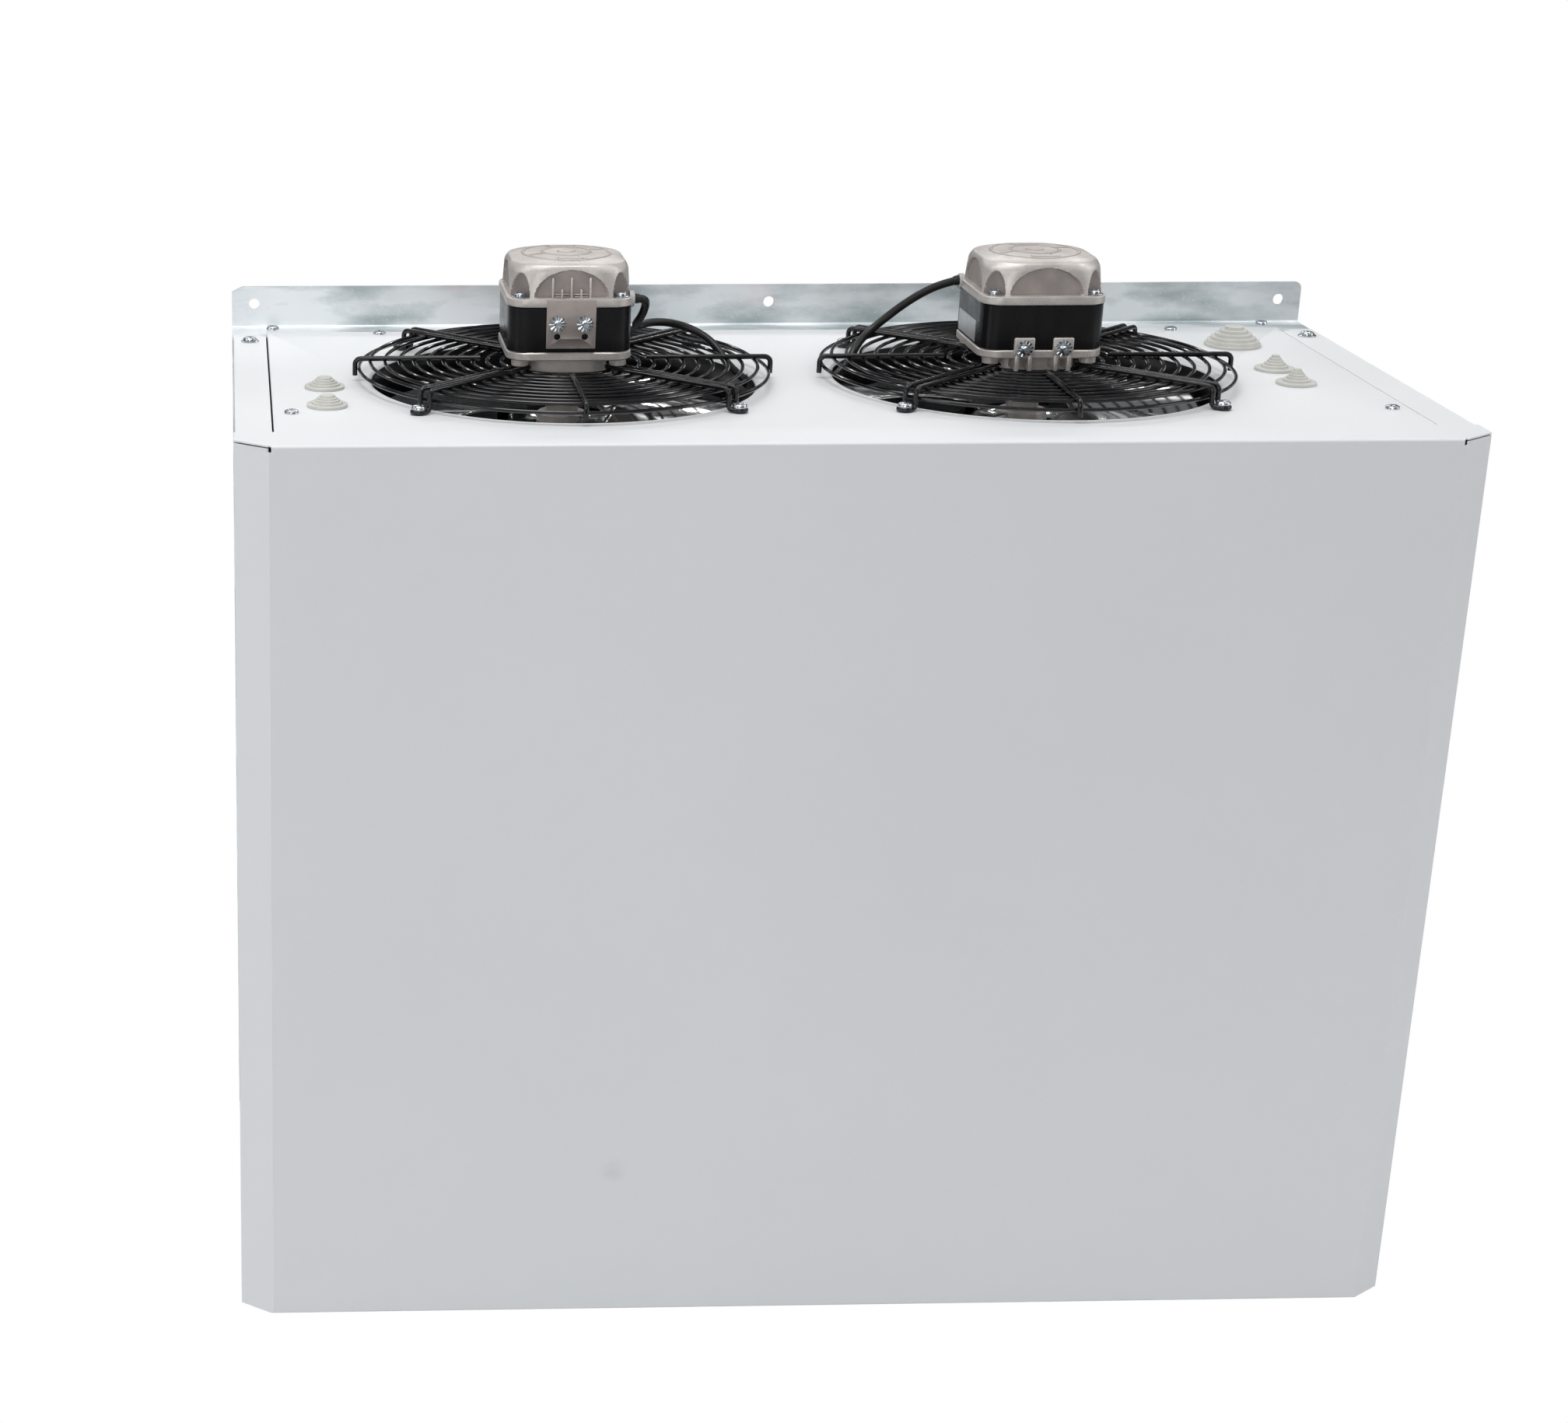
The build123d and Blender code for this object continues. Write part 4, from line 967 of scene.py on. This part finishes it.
def build_lead(side):
    """Motor lead from the cover's side, down through the guard to the bush in the throat."""
    s = sizes("casing")
    place = fan_place(side)
    points = [place @ (Vector(p) * MM) for p in LEADS[side]]
    curve = bpy.data.curves.new("motor_lead_" + side + "_jacket", "CURVE")
    curve.dimensions = "3D"
    curve.bevel_depth = s.lead
    curve.bevel_resolution = 6
    curve.resolution_u = 12
    curve.use_fill_caps = True
    spline = curve.splines.new("NURBS")
    spline.points.add(len(points) - 1)
    for control, point in zip(spline.points, points):
        control.co = (*point, 1.0)
    spline.order_u = 3
    spline.use_endpoint_u = True
    curve.materials.append(bpy.data.materials["finish_lead_black"])
    made = bpy.data.objects.new(curve.name, curve)
    bpy.context.scene.collection.objects.link(made)
    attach(made, "casing")
    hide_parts("motor_lead_" + side)


def build_strain_relief(side):
    """Thin pale moulded flange on the cover, and the black sleeve in which the lead leaves it."""
    place = fan_place(side)
    first, second = (Vector(p) * MM for p in LEADS[side][:2])
    outward = Vector((math.copysign(1, first.x), 0, 0))
    wall = Matrix.Translation((outward.x * sizes("motor").cover_lip, first.y, first.z))
    seat = place @ wall @ outward.to_track_quat("Z", "Y").to_matrix().to_4x4()
    along = (second - first).normalized().to_track_quat("Z", "Y").to_matrix().to_4x4()
    nose = place @ Matrix.Translation(first) @ along
    shapes = (
        (seat, [(0, -2.4), (5.4, -2.4), (5.4, 0.3), (4.8, 0.9), (0, 0.9)]),
        (nose, [(0, -4.4), (3.5, -4.4), (3.3, -0.6), (3.0, 0), (0, 0)]),
    )
    bm = bmesh.new()
    for stand, profile in shapes:
        turned(bm, [(radius * MM, rise * MM) for radius, rise in profile], 40, stand)
    made = dressed("strain_relief_" + side, "moulded", bm, "pale_plastic")
    made.data.materials.append(bpy.data.materials["finish_lead_black"])
    back = seat.inverted()
    for face in made.data.polygons:
        face.material_index = 1 if (back @ face.center).z > 0.95 * MM else 0


def build_deck():
    """Painted fan deck: pierced sheet with folded edges, and rolled bell mouths with collars whose insides
    are painted near black as shade.
    """
    s = sizes("casing")
    low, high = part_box("fan_plate")
    corners = [(low.x, low.y), (high.x, low.y), (high.x, high.y), (low.x, high.y)]
    edge, segments, roll = s.throat + s.bell, 128, 8
    centres = [fan_place(side).translation for side in SIDES]
    holes = [(c.x, c.y, edge, segments) for c in centres]
    bm = bmesh.new()
    face_towards(pierced_sheet(bm, corners, holes, Matrix.Translation((0, 0, high.z))), Vector((0, 0, 1)))
    rim = [e for e in bm.edges if e.is_boundary and not e.verts[0].co.y == e.verts[1].co.y == high.y]
    rim = [e for e in rim if all((v.co - c).length > edge + 1 * MM for v in e.verts for c in centres)]
    down = bmesh.ops.extrude_edge_only(bm, edges=rim)["geom"]
    folded = [g for g in down if isinstance(g, bmesh.types.BMVert)]
    bmesh.ops.translate(bm, vec=(0, 0, -s.fold), verts=folded)
    angles = [math.pi / 2 * i / roll for i in range(roll + 1)]
    profile = [(s.throat + s.bell * (1 - math.sin(a)), -s.bell * (1 - math.cos(a))) for a in angles]
    profile.append((s.throat, -s.collar))
    last = len(profile) - 1
    for centre in centres:

        def at(u, v, centre=centre):
            radius, drop = profile[round(v * last)]
            across, along = radius * math.cos(math.tau * u), radius * math.sin(math.tau * u)
            return Vector((centre.x + across, centre.y + along, high.z + drop))

        surface(bm, segments, last, at)
    weld(bm, list(bm.verts), cap=False)
    bmesh.ops.recalc_face_normals(bm, faces=bm.faces)
    top = max(bm.faces, key=lambda f: f.calc_area())
    if top.normal.z < 0:
        bmesh.ops.reverse_faces(bm, faces=bm.faces)
    made = dressed("fan_plate", "painted", bm, "white_paint", closed=False, smooth=40)
    # The collars' insides below the rolled lips take the near-black finish: painted shade of the dark casing
    # behind the fans.
    made.data.materials.append(bpy.data.materials["finish_shroud"])
    for face in made.data.polygons:
        if face.center.z < high.z - 0.7 * s.bell and abs(face.center.y) < -low.y - 2 * MM:
            away = min((face.center.xy - c.xy).length for c in centres)
            face.material_index = 1 if away < edge else 0
    thicken(made, s.sheet, 0.7 * MM)


def grommet_profile(radius, height, steps, tip, bulge):
    """Side view of a closed stepped grommet with rounded steps; over 1 it bulges, under 1 it hollows."""
    lip, draft, soft, soft_lip = 2.0 * MM, 0.15 * MM, 0.28 * MM, 0.3 * MM
    corners = [(0, 0, 0), (radius, 0, 0), (radius, lip, 0)]
    rise = (height - lip) / (steps - 1)
    for step in range(1, steps):
        reach = radius - (radius - tip) * (step / (steps - 1)) ** bulge
        corners += [(reach + draft, lip + rise * (step - 1), 0), (reach, lip + rise * step, 0)]
    corners.append((0, height, 0))
    radii = [0, soft_lip] + [soft] * (len(corners) - 3) + [0]
    return [(p.x, p.y) for p in rounded(corners, radii, steps=3)]


def build_grommets():
    """Closed cable and pipe grommets in the deck, each with its shoulder and groove under the lip."""
    kinds = {
        "grommets_left": (13.5 * MM, 7.6 * MM, 5, 5.0 * MM, 0.7),
        "grommet_large": (20.0 * MM, 14.0 * MM, 6, 6.5 * MM, 1.3),
        "grommets_right": (13.5 * MM, 10.5 * MM, 6, 2.7 * MM, 0.55),
    }
    for node, (radius, *shape) in kinds.items():
        low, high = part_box(node)
        middle = (low + high) / 2
        pair = high.y - low.y > 3 * radius
        shoulder, groove, foot, waist = radius * 0.8, radius * 0.7, -3 * MM, -1 * MM
        under = [(0, foot), (shoulder, foot), (shoulder, waist), (groove, waist), (groove, 0), (0, 0)]
        bm = bmesh.new()
        for y in (low.y + radius, high.y - radius) if pair else (middle.y,):
            stand = Matrix.Translation((middle.x, y, deck_height()))
            turned(bm, grommet_profile(radius, *shape), 64, stand)
            turned(bm, under, 48, stand)
        dressed(node, "moulded", bm, "grommet_rubber")


def build_casing_screws():
    """Cross-head screws of the deck, brackets and side strips."""
    deck, half = deck_height(), cad_high.x
    flat = [(-362.0, -295.0), (363.0, -301.0), (-292.0, -35.0), (294.0, -35.0)]
    bm = bmesh.new()
    for i, (x, y) in enumerate(flat):
        stand = Matrix.Translation((x * MM, y * MM, deck)) @ Matrix.Rotation(i * 0.7, 4, "Z")
        cross_head(bm, 4.7 * MM, 2.5 * MM, stand)
    flip = Matrix.Scale(-1, 4, (0, 0, 1))
    for sx in (-1, 1):
        big = Matrix.Translation((sx * (half - 12.8 * MM), -61.0 * MM, deck)) @ Matrix.Rotation(0.3, 4, "Z")
        small = Matrix.Translation((sx * (half - 30 * MM), -10 * MM, deck - 1 * MM))
        small = small @ Matrix.Rotation(0.5 * sx, 4, "Z")
        for place in (big, flip @ big):
            cross_head(bm, 5.0 * MM, 2.5 * MM, place, washer=6.6 * MM)
        for place in (small, flip @ small):
            cross_head(bm, 4.7 * MM, 2.5 * MM, place)
    dressed("casing_screws", "zinc", bm, "zinc")


def build_hub(side):
    """Cast hub with rounded edges."""
    low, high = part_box("fan_hub_" + side)
    foot, top = low.z - deck_height(), high.z - deck_height()
    flange, boss, step, edge, fillet = 17 * MM, 11 * MM, foot + 6 * MM, 0.8 * MM, 1 * MM
    profile = [
        (0, foot), (flange, foot), (flange, step - edge), (flange - edge, step), (boss + fillet, step),
        (boss, step + fillet), (boss, top - fillet), (boss - fillet, top), (0, top),
    ]
    bm = bmesh.new()
    turned(bm, profile, 48, fan_place(side))
    dressed("fan_hub_" + side, "cast", bm, "casting", "fan_" + side, "hub_casting")


# Stage ---------------------------------------------------------------------------------------


def white_to_camera(material, colour):
    """Diffuse to every ray but the camera's, which sees plain white."""
    material.use_nodes = True
    tree = material.node_tree
    tree.nodes.clear()
    sink = add_node(tree, "ShaderNodeOutputMaterial", 600, 0)
    path = add_node(tree, "ShaderNodeLightPath", -200, 300)
    plain = add_node(tree, "ShaderNodeBsdfDiffuse", 0, 0, values={"Color": (*colour, 1.0)})
    white = add_node(tree, "ShaderNodeEmission", 0, -200, values={"Color": (1, 1, 1, 1), "Strength": 1.0})
    mixed = add_node(tree, "ShaderNodeMixShader", 300, 0)
    connect(tree, (path, "Is Camera Ray", mixed, "Fac"), (plain, "BSDF", mixed, 1),
            (white, "Emission", mixed, 2), (mixed, "Shader", sink, "Surface"))


def build_world():
    """White to the camera; to everything else a hall with rows of ceiling lights over a grey surround."""
    world = bpy.data.worlds.new("studio")
    bpy.context.scene.world = world
    world.use_nodes = True
    tree = world.node_tree
    tree.nodes.clear()

    def node(kind, x, y, settings=(), values=()):
        return add_node(tree, "ShaderNode" + kind, x, y, settings, values)

    clamp = {"clamp": True}
    multiply = {"operation": "MULTIPLY"}
    sink = node("OutputWorld", 1300, 0)
    place = node("TexCoord", -900, 0)
    parts = node("SeparateXYZ", -700, 0)
    height = node("Math", -500, -200, {"operation": "MAXIMUM"}, {1: 0.08})
    across = node("Math", -300, -100, {"operation": "DIVIDE"})
    fold = node("Math", -100, -100, {"operation": "PINGPONG"}, {1: 0.42})
    rows = node("MapRange", 100, -100, clamp,
                {"From Min": 0.05, "From Max": 0.09, "To Min": 1.0, "To Max": 0.0})
    above = node("MapRange", 100, -350, clamp, {"From Min": 0.22, "From Max": 0.32})
    lamps = node("Math", 300, -200, multiply)
    rise = node("MapRange", -500, 200, clamp, {"From Min": -1.0, "From Max": 1.0})
    ramp = node("ValToRGB", -300, 200)
    ends = ramp.color_ramp.elements
    ends[0].position, ends[1].position = 0.3, 0.8
    ends[0].color = (0.16, 0.165, 0.17, 1)
    ends[1].color = (0.17, 0.175, 0.185, 1)
    ends.new(0.56).color = (0.06, 0.063, 0.067, 1)
    surround = node("Background", 500, 200, values={"Strength": 1.0})
    lights = node("Background", 500, -100, values={"Color": (1.0, 0.99, 0.97, 1)})
    strength = node("Math", 400, -350, multiply, {1: 1.6})
    studio = node("AddShader", 750, 100)
    white = node("Background", 750, -200, values={"Color": (1, 1, 1, 1), "Strength": 1.0})
    path = node("LightPath", 750, 400)
    mixed = node("MixShader", 1000, 0)
    connect(
        tree, (place, "Generated", parts, "Vector"),
        (parts, "Z", height, 0), (parts, "Y", across, 0), (height, "Value", across, 1),
        (across, "Value", fold, 0), (fold, "Value", rows, "Value"), (parts, "Z", above, "Value"),
        (rows, "Result", lamps, 0), (above, "Result", lamps, 1), (lamps, "Value", strength, 0),
        (strength, "Value", lights, "Strength"), (parts, "Z", rise, "Value"), (rise, "Result", ramp, "Fac"),
        (ramp, "Color", surround, "Color"), (surround, "Background", studio, 0),
        (lights, "Background", studio, 1), (path, "Is Camera Ray", mixed, "Fac"),
        (studio, "Shader", mixed, 1), (white, "Background", mixed, 2), (mixed, "Shader", sink, "Surface"),
    )


def add_light(name, place, target, width, height, power):
    light = bpy.data.lights.new(name, "AREA")
    light.shape = "RECTANGLE"
    light.size = width
    light.size_y = height
    light.energy = power
    made = bpy.data.objects.new(name, light)
    made.location = place
    made.rotation_euler = (Vector(target) - Vector(place)).to_track_quat("-Z", "Y").to_euler()
    bpy.context.scene.collection.objects.link(made)
    return made


def build_stage():
    """Floor, lights, world and camera."""
    floor = bmesh.new()
    below = Matrix.Translation((0, 0, cad_low.z - 20 * MM))
    bmesh.ops.create_grid(floor, x_segments=1, y_segments=1, size=6.0, matrix=below)
    mesh = bpy.data.meshes.new("floor")
    floor.to_mesh(mesh)
    floor.free()
    pale = bpy.data.materials.new("floor_white")
    white_to_camera(pale, (0.75, 0.76, 0.77))
    mesh.materials.append(pale)
    made = bpy.data.objects.new("floor", mesh)
    bpy.context.scene.collection.objects.link(made)
    build_world()
    target = (0, -0.2, 0.2)
    add_light("softbox_above", (-0.3, -0.5, 2.4), target, 1.6, 0.9, 22)
    add_light("softbox_front", (-0.9, -3.4, 0.9), (0, -0.39, 0.0), 1.6, 1.2, 18)
    add_light("softbox_left", (-2.6, -1.6, 0.9), target, 0.8, 1.6, 9)
    add_light("softbox_right", (2.4, -1.0, 0.8), target, 0.8, 1.4, 7)
    add_light("strip_back", (0.0, 1.7, 1.5), target, 2.6, 0.03, 8)
    add_light("strip_left", (-1.5, -0.2, 1.5), target, 0.03, 1.8, 6)
    add_light("strip_right", (1.5, -0.2, 1.5), target, 0.03, 1.8, 6)
    camera = bpy.data.cameras.new("camera")
    camera.sensor_width = 36.0
    camera.lens = 69.775
    camera.shift_x = 0.2941
    camera.shift_y = 0.0671
    stand = bpy.data.objects.new("camera", camera)
    stand.location = (-0.40182, -2.24886, 0.7481)
    stand.rotation_euler = (math.radians(69.6856), math.radians(-0.0533), math.radians(-1.7557))
    bpy.context.scene.collection.objects.link(stand)
    bpy.context.scene.camera = stand
    bpy.context.scene.view_settings.view_transform = "Standard"


# Operators and panel -------------------------------------------------------------------------


class COOLER_OT_materials(bpy.types.Operator):
    """Make the procedural finishes and give them to the CAD nodes"""

    bl_idname = "cooler.materials"
    bl_label = "Finishes"

    def execute(self, context):
        build_materials()
        paint_cad_nodes()
        return {"FINISHED"}


class COOLER_OT_casing(bpy.types.Operator):
    """Build the fan deck, grommets and casing screws"""

    bl_idname = "cooler.casing"
    bl_label = "Deck and fittings"

    def execute(self, context):
        build_deck()
        build_grommets()
        build_casing_screws()
        return {"FINISHED"}


class COOLER_OT_guards(bpy.types.Operator):
    """Build the wire guards and their screws"""

    bl_idname = "cooler.guards"
    bl_label = "Fan guards"

    def execute(self, context):
        for side in SIDES:
            build_guard(side)
        return {"FINISHED"}


class COOLER_OT_motors(bpy.types.Operator):
    """Build the fan motors with their covers, bases, flaps and label"""

    bl_idname = "cooler.motors"
    bl_label = "Motors"

    def execute(self, context):
        for side in SIDES:
            build_motor_base(side)
            build_motor_cover(side)
            build_motor_flap(side)
            build_motor_screws(side)
        build_label()
        return {"FINISHED"}


class COOLER_OT_fans(bpy.types.Operator):
    """Build the impellers and hubs"""

    bl_idname = "cooler.fans"
    bl_label = "Impellers"

    def execute(self, context):
        for side in SIDES:
            build_impeller(side)
            build_hub(side)
        return {"FINISHED"}


class COOLER_OT_leads(bpy.types.Operator):
    """Build the motor leads and their strain reliefs"""

    bl_idname = "cooler.leads"
    bl_label = "Motor leads"

    def execute(self, context):
        for side in SIDES:
            build_lead(side)
            build_strain_relief(side)
        return {"FINISHED"}


class COOLER_OT_stage(bpy.types.Operator):
    """Set the floor, lights and camera"""

    bl_idname = "cooler.stage"
    bl_label = "Stage"

    def execute(self, context):
        build_stage()
        return {"FINISHED"}


class COOLER_PT_panel(bpy.types.Panel):
    """Buttons and sizes in the 3D view's sidebar"""

    bl_idname = "COOLER_PT_panel"
    bl_label = "Unit cooler"
    bl_space_type = "VIEW_3D"
    bl_region_type = "UI"
    bl_category = "Unit cooler"

    def draw(self, context):
        for operator in OPERATORS:
            self.layout.operator(operator.bl_idname)
        for group in GROUPS:
            box = self.layout.box()
            for name in group.__annotations__:
                box.prop(sizes(GROUPS[group]), name)


GROUPS = {GuardSizes: "guard", MotorSizes: "motor", FanSizes: "fan", CasingSizes: "casing"}
OPERATORS = (COOLER_OT_materials, COOLER_OT_casing, COOLER_OT_guards, COOLER_OT_motors, COOLER_OT_fans,
             COOLER_OT_leads, COOLER_OT_stage)


def register():
    for group, name in GROUPS.items():
        bpy.utils.register_class(group)
        setattr(bpy.types.Scene, "cooler_" + name, bpy.props.PointerProperty(type=group))
    for shown in (*OPERATORS, COOLER_PT_panel):
        bpy.utils.register_class(shown)


def unregister():
    for shown in (COOLER_PT_panel, *OPERATORS):
        bpy.utils.unregister_class(shown)
    for group, name in GROUPS.items():
        delattr(bpy.types.Scene, "cooler_" + name)
        bpy.utils.unregister_class(group)


def main():
    register()
    bpy.ops.cooler.materials()
    bpy.ops.cooler.casing()
    bpy.ops.cooler.guards()
    bpy.ops.cooler.motors()
    bpy.ops.cooler.fans()
    bpy.ops.cooler.leads()
    bpy.ops.cooler.stage()


if __name__ == "__main__":
    main()
